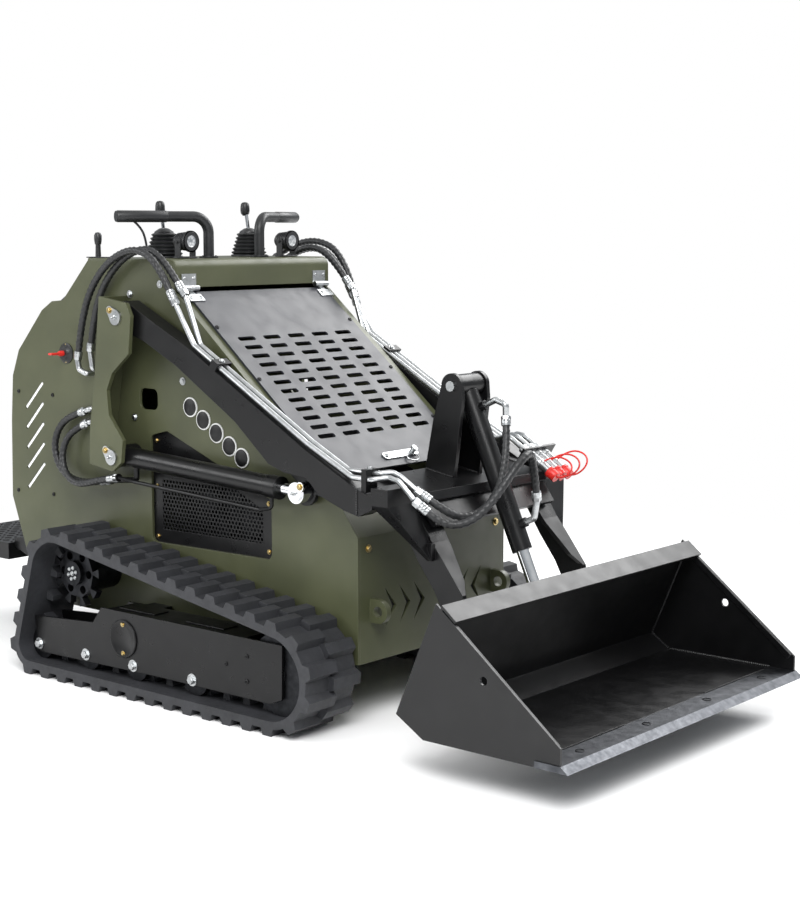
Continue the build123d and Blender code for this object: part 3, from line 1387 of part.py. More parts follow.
# Bucket: bent back and floor sheet with its side plates
with BuildPart() as bucket:
    with BuildSketch(side_plane(1, -BUCKET_HALF)):
        polygon(strip(BUCKET_SHEET, BUCKET_SHEET_T))
    extrude(amount=outward(1, 2 * BUCKET_HALF))
    for side in (-1, 1):
        with BuildSketch(side_plane(side, BUCKET_HALF - BUCKET_SIDE_T)):
            polygon(BUCKET_SIDE)
            with Locations(SIDE_HOLE[:2]):
                Circle(SIDE_HOLE[2], mode=Mode.SUBTRACT)
        extrude(amount=outward(side, BUCKET_SIDE_T))
bucket.part.label = "bucket"
export_step(bucket.part, "parts/bucket.step")

with BuildPart() as cutting_edge:
    with BuildSketch(side_plane(1, -EDGE_HALF)):
        polygon(
            (
                (EDGE_REAR, BUCKET_FLOOR - EDGE_T),
                (EDGE_FRONT, BUCKET_FLOOR - EDGE_T),
                (EDGE_FRONT - EDGE_BEVEL, BUCKET_FLOOR),
                (EDGE_REAR, BUCKET_FLOOR),
            )
        )
    extrude(amount=outward(1, 2 * EDGE_HALF))
cutting_edge.part.label = "cutting_edge"
export_step(cutting_edge.part, "parts/cutting_edge.step")


def back_lug(side, y, root, tip, pivot, boss_r):
    """One lug plate on the attachment plate, with its bore, in the part that is being made."""
    deep = BUCKET_SHEET_T + ATTACH_T - LUG_ROOT_DEPTH
    with BuildSketch(side_plane(side, y)) as face:
        polygon(
            (
                along_back(root[0], deep),
                along_back(root[1], deep),
                along_back(tip[1], LUG_PLATE_DEPTH),
                along_back(tip[0], LUG_PLATE_DEPTH),
            )
        )
        with Locations(pivot):
            Circle(boss_r)
            Circle(PIN_R, mode=Mode.SUBTRACT)
    extrude(face.sketch, amount=outward(side, LUG_PLATE_T))


# Attachment plate with its lugs
tilt_lug_y = TILT_HALF + 2 * PIN_SIDE_GAP
with BuildPart() as attach_plate:
    with BuildSketch(side_plane(1, -ATTACH_HALF)):
        polygon(
            (
                along_back(0, BUCKET_SHEET_T),
                along_back(ATTACH_LENGTH, BUCKET_SHEET_T),
                along_back(ATTACH_LENGTH, BUCKET_SHEET_T + ATTACH_T),
                along_back(0, BUCKET_SHEET_T + ATTACH_T),
            )
        )
    extrude(amount=outward(1, 2 * ATTACH_HALF))
    for side in (-1, 1):
        for y in (LEG_IN - PIN_SIDE_GAP - LUG_PLATE_T, LEG_OUT + PIN_SIDE_GAP):
            back_lug(side, y, LEG_LUG_ROOT, LEG_LUG_TIP, BUCKET_PIVOT, LEG_BOSS_R - 4)
        back_lug(side, tilt_lug_y, TILT_LUG_ROOT, TILT_LUG_TIP, TILT_EYE, TILT_EYE_R)
attach_plate.part.label = "attach_plate"
export_step(attach_plate.part, "parts/attach_plate.step")

# Bucket pins: one through each leg, and a short one in each tilt lug
leg_pin_start = LEG_IN - PIN_SIDE_GAP - LUG_PLATE_T - PIN_PROUD
leg_pin_length = LEG_T + 2 * (PIN_SIDE_GAP + LUG_PLATE_T + PIN_PROUD)
with BuildPart() as bucket_pins:
    for side in (-1, 1):
        disc(side, leg_pin_start, BUCKET_PIVOT, PIN_R, leg_pin_length)
        disc(side, tilt_lug_y, TILT_EYE, PIN_R, LUG_PLATE_T + PIN_END)
bucket_pins.part.label = "bucket_pins"
export_step(bucket_pins.part, "parts/bucket_pins.step")

# Platform bracket on the body's rear, and the folding platform
bracket_low = toward(REAR_LINE[0], REAR_LINE[1], BRACKET_SEAT[0])
bracket_high = toward(REAR_LINE[0], REAR_LINE[1], BRACKET_SEAT[1])
hinge_x, hinge_z = PLATFORM_HINGE
with BuildPart() as platform_bracket:
    for side in (-1, 1):
        with BuildSketch(side_plane(side, PLATFORM_EAR_Y)):
            ear_top = (hinge_x, hinge_z + PLATFORM_EAR_R)
            ear_bottom = (hinge_x, hinge_z - PLATFORM_EAR_R)
            polygon((bracket_low, bracket_high, ear_top, ear_bottom))
            with Locations(PLATFORM_HINGE):
                Circle(PLATFORM_EAR_R)
        extrude(amount=outward(side, PLATFORM_EAR_T))
    with BuildSketch(side_plane(1, -PLATFORM_EAR_Y)):
        polygon(strip([bracket_high, bracket_low], PLATE_T))
    extrude(amount=outward(1, 2 * PLATFORM_EAR_Y))
    disc(1, -PLATFORM_EAR_Y, PLATFORM_HINGE, PLATFORM_PIN_R, 2 * PLATFORM_EAR_Y)
platform_bracket.part.label = "platform_bracket"
export_step(platform_bracket.part, "parts/platform_bracket.step")

platform_length = hinge_x - PLATFORM_FRONT_GAP - PLATFORM_REAR
platform_middle = (PLATFORM_REAR + platform_length / 2, 0)
lug_y = PLATFORM_EAR_Y - PIN_SIDE_GAP - PLATFORM_EAR_T
with BuildPart() as platform:
    with BuildSketch(Plane.XY.offset(hinge_z - PLATFORM_T)):
        with Locations(platform_middle):
            Rectangle(platform_length, 2 * PLATFORM_HALF)
    extrude(amount=PLATFORM_T)
    with BuildSketch(Plane.XY.offset(hinge_z - PLATFORM_T)):
        with Locations(platform_middle):
            Rectangle(platform_length - 2 * PLATFORM_WALL, 2 * (PLATFORM_HALF - PLATFORM_WALL))
    extrude(amount=PLATFORM_T - PLATFORM_WALL, mode=Mode.SUBTRACT)
    for side in (-1, 1):
        with BuildSketch(side_plane(side, lug_y)):
            with Locations(PLATFORM_HINGE):
                Circle(PLATFORM_EAR_R)
            polygon(
                (
                    (hinge_x, hinge_z + PLATFORM_EAR_R),
                    (hinge_x - PLATFORM_EAR_REACH, hinge_z),
                    (hinge_x - PLATFORM_EAR_REACH, hinge_z - 2 * PLATFORM_EAR_R),
                    (hinge_x, hinge_z - PLATFORM_EAR_R),
                )
            )
        extrude(amount=outward(side, PLATFORM_EAR_T))
    disc(1, -PLATFORM_HALF, PLATFORM_HINGE, PLATFORM_PIN_R + PIN_FIT, 2 * PLATFORM_HALF, mode=Mode.SUBTRACT)
platform.part.label = "operator_platform"
export_step(platform.part, "parts/operator_platform.step")

# Handlebars: posts on the hood, bent outward into the grips
with BuildPart() as handlebars:
    for side in (-1, 1):
        foot = (HANDLE_FOOT[0], side * HANDLE_FOOT[1])
        pipe([(*foot, hood_top), (*foot, HANDLE_TOP), (HANDLE_END[0], side * HANDLE_END[1], HANDLE_TOP)], HANDLE_R, HANDLE_BEND)
        rod((*foot, hood_top), (*foot, hood_top + HANDLE_FLANGE_T), HANDLE_FLANGE_R)
handlebars.part.label = "handlebars"
export_step(handlebars.part, "parts/handlebars.step")

# Joysticks: boots with a leaning stick and knob
boot_top = hood_top + BOOT_HEIGHT
with BuildPart() as joysticks:
    for side in (-1, 1):
        with BuildSketch(Plane.XY.offset(hood_top)):
            with Locations((STICK_FOOT[0], side * STICK_FOOT[1])):
                Circle(BOOT_R)
        extrude(amount=BOOT_HEIGHT, taper=BOOT_TAPER)
        stick_start = (STICK_FOOT[0], side * STICK_FOOT[1], boot_top - 5)
        knob_start = (STICK_FOOT[0] - STICK_LEAN, side * STICK_FOOT[1], STICK_TOP - KNOB_LENGTH)
        knob_end = (STICK_FOOT[0] - STICK_LEAN, side * STICK_FOOT[1], STICK_TOP)
        rod(stick_start, knob_start, STICK_R)
        rod(knob_start, knob_end, KNOB_R)
joysticks.part.label = "joysticks"
export_step(joysticks.part, "parts/joysticks.step")

# Work lamps on their brackets
with BuildPart() as work_lamps:
    for side in (-1, 1):
        with BuildSketch(Plane.YZ.offset(LAMP_FRONT)):
            with Locations((side * LAMP_Y, LAMP_Z)):
                Circle(LAMP_R)
        extrude(amount=-LAMP_LENGTH, taper=LAMP_TAPER)
        with BuildSketch(Plane.XY.offset(hood_top)):
            with Locations((LAMP_FRONT - LAMP_FOOT[0], side * LAMP_Y)):
                Rectangle(*LAMP_FOOT)
        extrude(amount=LAMP_Z - hood_top)
work_lamps.part.label = "work_lamps"
export_step(work_lamps.part, "parts/work_lamps.step")

# Throttle lever
throttle_foot = (THROTTLE_X, THROTTLE_INSET - BODY_HALF)
with BuildPart() as throttle_lever:
    rod((*throttle_foot, hood_top), (*throttle_foot, THROTTLE_TOP), THROTTLE_R)
throttle_lever.part.label = "throttle_lever"
export_step(throttle_lever.part, "parts/throttle_lever.step")

# Battery isolator with its key, on the right side plate
with BuildPart() as battery_isolator:
    disc(-1, BODY_HALF, ISOLATOR, ISOLATOR_R, ISOLATOR_BODY)
    with BuildSketch(side_plane(-1, BODY_HALF + ISOLATOR_BODY)):
        with Locations(ISOLATOR):
            Rectangle(*ISOLATOR_KEY[:2])
    extrude(amount=outward(-1, ISOLATOR_KEY[2]))
battery_isolator.part.label = "battery_isolator"
export_step(battery_isolator.part, "parts/battery_isolator.step")
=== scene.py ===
"""Studio scene of the stand-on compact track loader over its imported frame. Metres, +X forward, +Z up."""
from math import ceil, cos, hypot, pi, radians, sin

import bmesh
import bpy
from mathutils import Matrix, Vector


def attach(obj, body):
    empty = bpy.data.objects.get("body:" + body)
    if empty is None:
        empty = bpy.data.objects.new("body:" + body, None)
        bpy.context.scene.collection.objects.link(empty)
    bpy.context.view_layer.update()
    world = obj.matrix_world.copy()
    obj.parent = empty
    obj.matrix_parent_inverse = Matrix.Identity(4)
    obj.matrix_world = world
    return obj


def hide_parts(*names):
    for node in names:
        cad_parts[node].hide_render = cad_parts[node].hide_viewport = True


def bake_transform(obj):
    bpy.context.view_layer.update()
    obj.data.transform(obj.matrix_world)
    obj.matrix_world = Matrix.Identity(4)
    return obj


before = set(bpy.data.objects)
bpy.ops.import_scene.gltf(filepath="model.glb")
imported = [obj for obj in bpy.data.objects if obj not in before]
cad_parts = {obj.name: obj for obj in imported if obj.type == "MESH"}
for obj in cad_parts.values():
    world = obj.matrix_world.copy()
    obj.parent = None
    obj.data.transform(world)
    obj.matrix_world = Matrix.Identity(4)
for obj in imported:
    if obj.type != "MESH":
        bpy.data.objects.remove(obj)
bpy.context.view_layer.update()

# The photograph's view
CAMERA_PLACE = (3.25644, -3.45055, 1.23604)
CAMERA_AZIMUTH = 40.06
CAMERA_DROP = 7.65
FOCAL_PIXELS = 1736.03
PHOTO_HEIGHT = 923
SENSOR = 36.0

# Planes of the machine, as distances from its middle
SIDES = (-1, 1)
NAMED_SIDES = (("right", -1), ("left", 1))
SIDE_FACE = 0.300
FLAG_FACE = 0.394
EYE_FACE = 0.366
TRACK_PLATE = 0.457
SPROCKET_FACE = 0.429
SCREEN_FACE = 0.2915
SCREEN_INSIDE = 0.2900
HOOD_TOP = 1.155
GUARD_TOP = (-0.160, 1.068)
GUARD_SLOPE = 39.9
HINGE_Y = 0.255
HINGE_SCREWS = (-0.017, 0.017)
LAMP_Y = 0.197
LAMP_Z = 1.201

# Pivots in side view
ARM_PIVOT = (-0.308, 1.001)
LIFT_FOOT = (-0.337, 0.622)
LIFT_EYE = (0.319, 0.585)
TOWER_PIN = (0.571, 0.845)
TILT_EYE = (0.801, 0.335)
BUCKET_PIVOT = (0.746, 0.195)
SPROCKET = (-0.466, 0.292)
ROLLERS = ((-0.582, 0.082), (-0.382, 0.082), (-0.189, 0.082), (0.039, 0.082))

# Hydraulic hoses: outer radius, and each route's control points on the left side
HOSE_R = 0.009
HOSE_STEP = 0.004
WRAP_HEIGHT = 0.0014
WRAP_PITCH = 0.016
ARM_HOSE_OUTER = (
    (-0.544, 0.324, 0.895), (-0.524, 0.326, 0.985), (-0.470, 0.334, 1.080), (-0.375, 0.346, 1.155),
    (-0.270, 0.349, 1.186), (-0.185, 0.350, 1.150), (-0.136, 0.350, 1.072),
)
ARM_HOSE_INNER = (
    (-0.490, 0.323, 0.920), (-0.474, 0.323, 1.000), (-0.430, 0.324, 1.087), (-0.350, 0.325, 1.158),
    (-0.255, 0.326, 1.188), (-0.180, 0.328, 1.152), (-0.128, 0.328, 1.092),
)
ARM_HOSE_SPARE = (
    (-0.594, 0.326, 0.880), (-0.583, 0.334, 0.990), (-0.520, 0.350, 1.095), (-0.410, 0.366, 1.175),
    (-0.285, 0.373, 1.208), (-0.176, 0.374, 1.160), (-0.138, 0.374, 1.052),
)
LIFT_HOSE_FOOT = (
    (-0.547, 0.319, 0.724), (-0.600, 0.321, 0.708), (-0.643, 0.323, 0.672), (-0.660, 0.325, 0.622),
    (-0.643, 0.327, 0.573), (-0.600, 0.330, 0.541), (-0.545, 0.332, 0.530), (-0.490, 0.334, 0.533),
    (-0.440, 0.336, 0.541),
)
LIFT_HOSE_FRONT = (
    (-0.537, 0.320, 0.689), (-0.575, 0.324, 0.672), (-0.603, 0.330, 0.641), (-0.611, 0.337, 0.602),
    (-0.597, 0.344, 0.564), (-0.563, 0.350, 0.537), (-0.520, 0.356, 0.529), (-0.470, 0.361, 0.537),
    (-0.420, 0.364, 0.549), (-0.375, 0.366, 0.557),
)
TILT_HOSE_LOW = (
    (0.692, -0.300, 0.570), (0.714, -0.286, 0.548), (0.745, -0.262, 0.536), (0.782, -0.232, 0.552),
    (0.812, -0.198, 0.598), (0.832, -0.160, 0.655), (0.838, -0.115, 0.695), (0.825, -0.070, 0.700),
    (0.806, -0.032, 0.665), (0.795, -0.008, 0.625), (0.793, 0.000, 0.592),
)
TILT_HOSE_HIGH = (
    (0.679, -0.275, 0.594), (0.706, -0.262, 0.574), (0.730, -0.232, 0.552), (0.745, -0.192, 0.552),
    (0.752, -0.150, 0.566), (0.748, -0.108, 0.590), (0.734, -0.066, 0.622), (0.722, -0.034, 0.668),
    (0.708, -0.010, 0.716), (0.700, -0.001, 0.752),
)
SLEEVE_LENGTH = 0.042
SHORT_SLEEVE = 0.022

# Auxiliary couplers
COUPLER_Y = (0.230, 0.260, 0.290)
COUPLER_CENTRE = (0.603, 0.650)
COUPLER_SLOPE = 32.0
TETHER_R = 0.0024

SMOOTH_ANGLE = 38


def linear(code, alpha=1.0):
    """A linear colour from an sRGB hex value such as #5d5f4a."""
    code = code.lstrip("#")
    channels = []
    for i in (0, 2, 4):
        value = int(code[i:i + 2], 16) / 255
        channels.append(value / 12.92 if value <= 0.04045 else ((value + 0.055) / 1.055) ** 2.4)
    return (channels[0], channels[1], channels[2], alpha)


# Materials. The widths and heights of patterns are in millimetres.
def feed(tree, item, **inputs):
    """Set a node's inputs to values or link sockets to them; _6 stands for the seventh input."""
    for name, value in inputs.items():
        socket = item.inputs[int(name[1:])] if name[0] == "_" else item.inputs[name.replace("_", " ")]
        if isinstance(value, bpy.types.NodeSocket):
            tree.links.new(value, socket)
        else:
            socket.default_value = value


def add_node(tree, kind, settings=None, **inputs):
    """A node with its settings and links; the setting stops holds a ramp's (position, hex colour) pairs."""
    item = tree.nodes.new("ShaderNode" + kind)
    for name, value in (settings or {}).items():
        if name != "stops":
            setattr(item, name, value)
            continue
        elements = item.color_ramp.elements
        while len(elements) < len(value):
            elements.new(0.5)
        for element, (position, code) in zip(elements, value):
            element.position = position
            element.color = linear(code)
    feed(tree, item, **inputs)
    return item


def new_material(name):
    """A node material; returns it with its tree, its shader and the object's coordinates."""
    material = bpy.data.materials.new(name)
    material.use_nodes = True
    tree = material.node_tree
    place = add_node(tree, "TexCoord").outputs["Object"]
    return material, tree, tree.nodes["Principled BSDF"], place


def drifting(tree, place, width, low, high):
    """A number that drifts between low and high in patches of a width."""
    clouds = add_node(tree, "TexNoise", Vector=place, Scale=1000 / width, Detail=3.0)
    item = add_node(tree, "MapRange", Value=clouds.outputs["Fac"], _1=0.3, _2=0.7, _3=low, _4=high)
    return item.outputs["Result"]


def toned(tree, place, width, *stops, detail=4.0):
    """A colour that drifts through (position, hex colour) stops in patches of a width."""
    clouds = add_node(tree, "TexNoise", Vector=place, Scale=1000 / width, Detail=detail)
    item = add_node(tree, "ValToRGB", {"stops": stops}, Fac=clouds.outputs["Fac"])
    return item.outputs["Color"]


def powder_coat(name, tones, gloss, edge=None, specular=0.5):
    """Baked powder coat: satin, with a slow drift of tone, orange peel and, with edge, paler rubbed edges."""
    material, tree, shader, place = new_material(name)
    tone_patch, gloss_patch, rub_patch, peel_width = 200, 45.5, 16.7, 2.38
    colour = toned(tree, place, tone_patch, *zip((0.3, 0.5, 0.72), tones))
    normal = add_node(tree, "NewGeometry").outputs["Normal"]
    if edge:
        rounded = add_node(tree, "Bevel", {"samples": 4}, Radius=0.002).outputs["Normal"]
        same = add_node(tree, "VectorMath", {"operation": "DOT_PRODUCT"}, _0=rounded, _1=normal)
        bend = add_node(tree, "MapRange", Value=same.outputs["Value"], _1=0.97, _2=0.8, _3=0.0, _4=0.5)
        rubbed = add_node(tree, "Math", {"operation": "MULTIPLY"}, _0=bend.outputs["Result"],
                          _1=drifting(tree, place, rub_patch, 0.1, 1.0))
        colour = add_node(tree, "Mix", {"data_type": "RGBA"}, Factor=rubbed.outputs["Value"],
                          _6=colour, _7=linear(edge)).outputs[2]
        normal = rounded
    peel = add_node(tree, "TexNoise", Vector=place, Scale=1000 / peel_width, Detail=2.0)
    skin = add_node(tree, "Bump", Height=peel.outputs["Fac"], Distance=0.0001, Strength=0.25,
                    Normal=normal)
    feed(tree, shader, Base_Color=colour, Roughness=drifting(tree, place, gloss_patch, *gloss),
         Specular_IOR_Level=specular, Normal=skin.outputs["Normal"])
    return material


def bare_metal(name, dark, light, gloss, streak):
    """Plated, ground or cast steel: a cloudy tone, and upright streaks of a width."""
    material, tree, shader, place = new_material(name)
    tone_patch, gloss_patch = 22.2, 7.7
    across = 1000 / streak
    stretched = add_node(tree, "Mapping", Vector=place, Scale=(across, across, across * 0.15))
    streaks = add_node(tree, "TexNoise", Vector=stretched.outputs["Vector"], Scale=1.0, Detail=2.0)
    skin = add_node(tree, "Bump", Height=streaks.outputs["Fac"], Distance=0.00003, Strength=0.25)
    feed(tree, shader, Base_Color=toned(tree, place, tone_patch, (0.3, dark), (0.7, light)), Metallic=1.0,
         Roughness=drifting(tree, place, gloss_patch, *gloss), Normal=skin.outputs["Normal"])
    return material


def moulded(name, dark, light, gloss, grain, height, ior):
    """Moulded rubber or plastic: a grain of a width and a height, and a slight drift of tone."""
    material, tree, shader, place = new_material(name)
    tone_patch, gloss_patch = 71.4, 14.3
    pores = add_node(tree, "TexNoise", Vector=place, Scale=1000 / grain, Detail=4.0, Roughness=0.6)
    rounded = add_node(tree, "Bevel", {"samples": 4}, Radius=0.0015)
    skin = add_node(tree, "Bump", Height=pores.outputs["Fac"], Distance=height / 1000, Strength=0.6,
                    Normal=rounded.outputs["Normal"])
    feed(tree, shader, Base_Color=toned(tree, place, tone_patch, (0.3, dark), (0.7, light)), IOR=ior,
         Roughness=drifting(tree, place, gloss_patch, gloss - 0.07, gloss + 0.07),
         Normal=skin.outputs["Normal"])
    return material


def clear_lens(name, cell):
    """Clear acrylic moulded in cells of a width, over a bright reflector; each cell's white centre is a
    painted glint.
    """
    material, tree, shader, place = new_material(name)
    cells = add_node(tree, "TexVoronoi", Vector=place, Scale=1000 / cell).outputs["Distance"]
    # white at each cell's centre, grey at its rim: a painted glint in every cell
    painted_glints = add_node(tree, "ValToRGB", {"stops": ((0.0, "#ffffff"), (0.8, "#9fa4a8"))}, Fac=cells)
    rounded = add_node(tree, "Bevel", {"samples": 4}, Radius=0.001)
    skin = add_node(tree, "Bump", Height=cells, Distance=0.001, Strength=0.5,
                    Normal=rounded.outputs["Normal"])
    feed(tree, shader, Base_Color=painted_glints.outputs["Color"], Roughness=0.05, IOR=1.49, Metallic=0.6,
         Coat_Weight=1.0, Normal=skin.outputs["Normal"])
    return material


LOOKS = {
    # olive powder coat, baked on sheet steel: satin, with a soft orange peel and paler rubbed edges
    "olive": powder_coat("olive_powder_coat", ("#414430", "#474a34", "#4e513a"), (0.34, 0.46),
                         "#6a6d55", 0.4),
    # black powder coat, baked on plate: satin, deep, greyer at the edges
    "black": powder_coat("black_powder_coat", ("#0b0b0c", "#0e0e0f", "#131314"), (0.26, 0.38),
                         "#343538", 0.3),
    # dark grey powder coat, baked on the pressed guard: even, without worn edges
    "guard": powder_coat("guard_powder_coat", ("#2c2d32", "#313237", "#37383d"), (0.30, 0.40), specular=0.28),
    # black enamel, sprayed on the bucket: steel shows grey at its scuffed edges
    "bucket": powder_coat("bucket_paint", ("#09090a", "#0c0c0d", "#121213"), (0.28, 0.40), "#5c5d60", 0.4),
    # bright zinc, electroplated: pale and slightly cloudy; the streaks are coarser than real, to show
    "zinc": bare_metal("zinc_plate", "#a9acad", "#c6c8c9", (0.27, 0.35), 4.55),
    # zinc with a yellow passivation, electroplated: straw-coloured bolts; streaks as above
    "brass": bare_metal("yellow_zinc", "#a08c5c", "#bba97a", (0.28, 0.42), 4.55),
    # hard chrome, ground and polished: nearly a mirror; the grinding marks are coarser than real
    "chrome": bare_metal("hard_chrome", "#d4d6d8", "#e6e7e8", (0.05, 0.12), 1.67),
    # cast and machined steel, oiled: dark and dull
    "cast": bare_metal("dark_steel", "#2a2b2d", "#3b3c3f", (0.42, 0.6), 6.67),
    # rolled steel, ground to an edge: mid grey with broad marks from use
    "edge": bare_metal("ground_steel", "#44464a", "#64666a", (0.34, 0.46), 11.1),
    # natural rubber, moulded round the track's cords: matt, dusty grey
    "rubber": moulded("track_rubber", "#232427", "#2f3034", 0.62, 3.85, 0.6, 1.52),
    # synthetic rubber hose cover, wrapped and cured: a fine cloth print
    "hose": moulded("hose_cover", "#131415", "#1d1e20", 0.45, 2.0, 0.2, 1.52),
    # vinyl, embossed with a leather grain: soft sheen on the pad
    "pad": moulded("pad_vinyl", "#17181a", "#202124", 0.5, 1.43, 0.2, 1.5),
    # black polypropylene and bellows rubber, moulded: a fine sparked grain, coarser than real
    "plastic": moulded("black_plastic", "#151617", "#1e1f21", 0.42, 1.67, 0.2, 1.49),
    # red vinyl and plastic, moulded: the smooth, bright key, caps and cords
    "red": moulded("red_plastic", "#c4241f", "#d9322b", 0.32, 2.0, 0.1, 1.49),
    # black acrylic badge discs, moulded: smooth and plain
    "badge": moulded("badge_plastic", "#060607", "#0a0a0b", 0.45, 3.33, 0.05, 1.45),
    # pale plastic rim of the badge discs, moulded: smooth
    "badge_rim": moulded("badge_rim", "#c9cac8", "#dcdddb", 0.35, 3.33, 0.1, 1.49),
    # white strips in the rear slots: painted light, for the light that shows through them; dull, with a fibre
    # bump coarser than real
    "slot_light": moulded("slot_light_paint", "#e8e9ea", "#f6f7f8", 0.85, 1.11, 0.8, 1.45),
    # cast and moulded engine parts, painted dark: dull; the near black is partly their paint and partly
    # painted shade of the bay, and it also serves the sheet behind the chevrons as painted shade
    "bay_paint_and_shade": moulded("engine_bay", "#0d0d0e", "#161617", 0.6, 5.0, 0.4, 1.5),
    # clear acrylic lamp lens, moulded: bright, with prism cells, each with a painted glint at its centre
    "lens": clear_lens("lamp_lens", 7.7),
}

NODE_LOOKS = {
    "olive": ("side_plate_right", "side_plate_left", "front_panel", "hood", "rear_panel", "dash_panel",
              "belly_plate", "pivot_bracket_right", "pivot_bracket_left"),
    "guard": ("guard_plate",),
    "bucket": ("bucket",),
    "edge": ("cutting_edge",),
    "zinc": ("pivot_pins", "tower_pin", "bucket_pins", "arm_tubes_right", "arm_tubes_left", "quick_couplers",
             "hood_hinges", "guard_hinges", "bulkhead_fittings", "tilt_fittings", "guard_latch"),
    "chrome": ("lift_rod_right", "lift_rod_left", "tilt_rod"),
    "rubber": ("track_right", "track_left"),
    "cast": ("drive_motors", "drive_sprockets", "track_rollers", "idler_wheels"),
    # engine block: dark paint, made near black as painted shade of the bay
    "bay_paint_and_shade": ("engine_block",),
    "plastic": ("handlebars", "joysticks", "throttle_lever", "thigh_pad", "work_lamps"),
    "red": ("coupler_caps", "battery_isolator"),
    "hose": ("arm_hoses_right", "arm_hoses_left", "lift_hoses_right", "lift_hoses_left", "tilt_hoses"),
}


def dress_frame():
    """Give every CAD node its material; what is listed nowhere is black paint."""
    look_of = {node: look for look, nodes in NODE_LOOKS.items() for node in nodes}
    for name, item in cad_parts.items():
        item.data.materials.clear()
        item.data.materials.append(LOOKS[look_of.get(name, "black")])


# Mesh building
def frame_of(axis):
    """Two directions across an axis."""
    axis = Vector(axis).normalized()
    helper = Vector((0, 0, 1)) if abs(axis.z) < 0.9 else Vector((1, 0, 0))
    across = axis.cross(helper).normalized()
    return axis, across, axis.cross(across)


def add_lathe(mesh, origin, axis, profile, sides=24, turn=0.0):
    """A turned shape: profile is a list of (height along the axis, radius)."""
    axis, across, other = frame_of(axis)
    origin = Vector(origin)
    rings = []
    for height, radius in profile:
        if radius <= 0:
            rings.append([mesh.verts.new(origin + axis * height)])
            continue
        ring = []
        for k in range(sides):
            a = 2 * pi * k / sides + turn
            ring.append(mesh.verts.new(origin + axis * height + (across * cos(a) + other * sin(a)) * radius))
        rings.append(ring)
    for low, high in zip(rings, rings[1:]):
        for k in range(sides):
            a, b = low[k % len(low)], low[(k + 1) % len(low)]
            c, d = high[(k + 1) % len(high)], high[k % len(high)]
            corners = []
            for vert in (a, b, c, d):
                if vert not in corners:
                    corners.append(vert)
            if len(corners) > 2:
                mesh.faces.new(corners)
    for ring in (rings[0][::-1], rings[-1]):
        if len(ring) > 2:
            mesh.faces.new(ring)


def add_bolt(mesh, origin, axis, radius, washer=1.5):
    """A hexagon-head bolt on its washer; the origin is on the surface."""
    height = radius * 0.8
    add_lathe(mesh, origin, axis, ((-0.001, radius * washer), (0.0015, radius * washer)), 20)
    head = ((0.0015, radius), (height, radius), (height + radius * 0.12, radius * 0.86))
    add_lathe(mesh, origin, axis, head, 6)


def add_button(mesh, origin, axis, radius):
    """A round-head screw with a socket."""
    shape = ((-0.001, 1), (0.25, 1), (0.5, 0.75), (0.58, 0.45), (0.25, 0.4), (0.25, 0))
    profile = [(height if height < 0 else height * radius, share * radius) for height, share in shape]
    add_lathe(mesh, origin, axis, profile, 14)


def add_box(mesh, centre, size, axes=((1, 0, 0), (0, 1, 0), (0, 0, 1)), chamfer=0.0):
    """A block with chamfered ends, along three axes."""
    centre = Vector(centre)
    u, v, w = (Vector(axis).normalized() for axis in axes)
    half_u, half_v, half_w = size[0] / 2, size[1] / 2, size[2] / 2
    layers = ((-half_w, chamfer), (-half_w + chamfer, 0), (half_w - chamfer, 0), (half_w, chamfer))
    if not chamfer:
        layers = (layers[0], layers[3])
    rings = []
    for height, inset in layers:
        ring = []
        for a, b in ((-1, -1), (1, -1), (1, 1), (-1, 1)):
            corner = centre + u * a * (half_u - inset) + v * b * (half_v - inset) + w * height
            ring.append(mesh.verts.new(corner))
        rings.append(ring)
    for low, high in zip(rings, rings[1:]):
        for k in range(4):
            mesh.faces.new((low[k], low[(k + 1) % 4], high[(k + 1) % 4], high[k]))
    mesh.faces.new(rings[0][::-1])
    mesh.faces.new(rings[-1])


def add_tube(mesh, points, radius, sides=12, ripple=None):
    """A tube along points; ripple(step, share of a turn) gives how far each point stands out."""
    points = [Vector(p) for p in points]
    ways = []
    for i in range(len(points)):
        ways.append((points[min(i + 1, len(points) - 1)] - points[max(i - 1, 0)]).normalized())
    across = frame_of(ways[0])[1]
    rings = []
    for i, (point, way) in enumerate(zip(points, ways)):
        across = (across - way * across.dot(way)).normalized()
        other = way.cross(across)
        ring = []
        for k in range(sides):
            a = 2 * pi * k / sides
            reach = radius + (ripple(i, k / sides) if ripple else 0)
            ring.append(mesh.verts.new(point + (across * cos(a) + other * sin(a)) * reach))
        rings.append(ring)
    for low, high in zip(rings, rings[1:]):
        for k in range(sides):
            mesh.faces.new((low[k], low[(k + 1) % sides], high[(k + 1) % sides], high[k]))
    mesh.faces.new(rings[0][::-1])
    mesh.faces.new(rings[-1])


def finish_mesh(name, mesh, look):
    """The built mesh as data, smooth except at sharp edges."""
    bmesh.ops.recalc_face_normals(mesh, faces=mesh.faces)
    for edge in mesh.edges:
        edge.smooth = len(edge.link_faces) == 2 and edge.calc_face_angle(0) < radians(SMOOTH_ANGLE)
    for face in mesh.faces:
        face.smooth = True
    data = bpy.data.meshes.new(name)
    mesh.to_mesh(data)
    mesh.free()
    data.materials.append(LOOKS[look])
    return data


def place_object(name, data):
    """Data as an object in the scene."""
    item = bpy.data.objects.new(name, data)
    bpy.context.scene.collection.objects.link(item)
    return item


def add_piece(name, mesh, body, look):
    """A built mesh as a piece that moves with a body."""
    item = place_object(name, finish_mesh(name, mesh, look))
    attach(item, body)
    return item


# Hoses
def smooth_curve(name, points, steps):
    """A curve with the given control points."""
    curve = bpy.data.curves.new(name, "CURVE")
    curve.dimensions = "3D"
    line = curve.splines.new("NURBS")
    line.points.add(len(points) - 1)
    for knot, point in zip(line.points, points):
        knot.co = (*point, 1.0)
    line.order_u = 3
    line.use_endpoint_u = True
    line.resolution_u = steps
    return curve


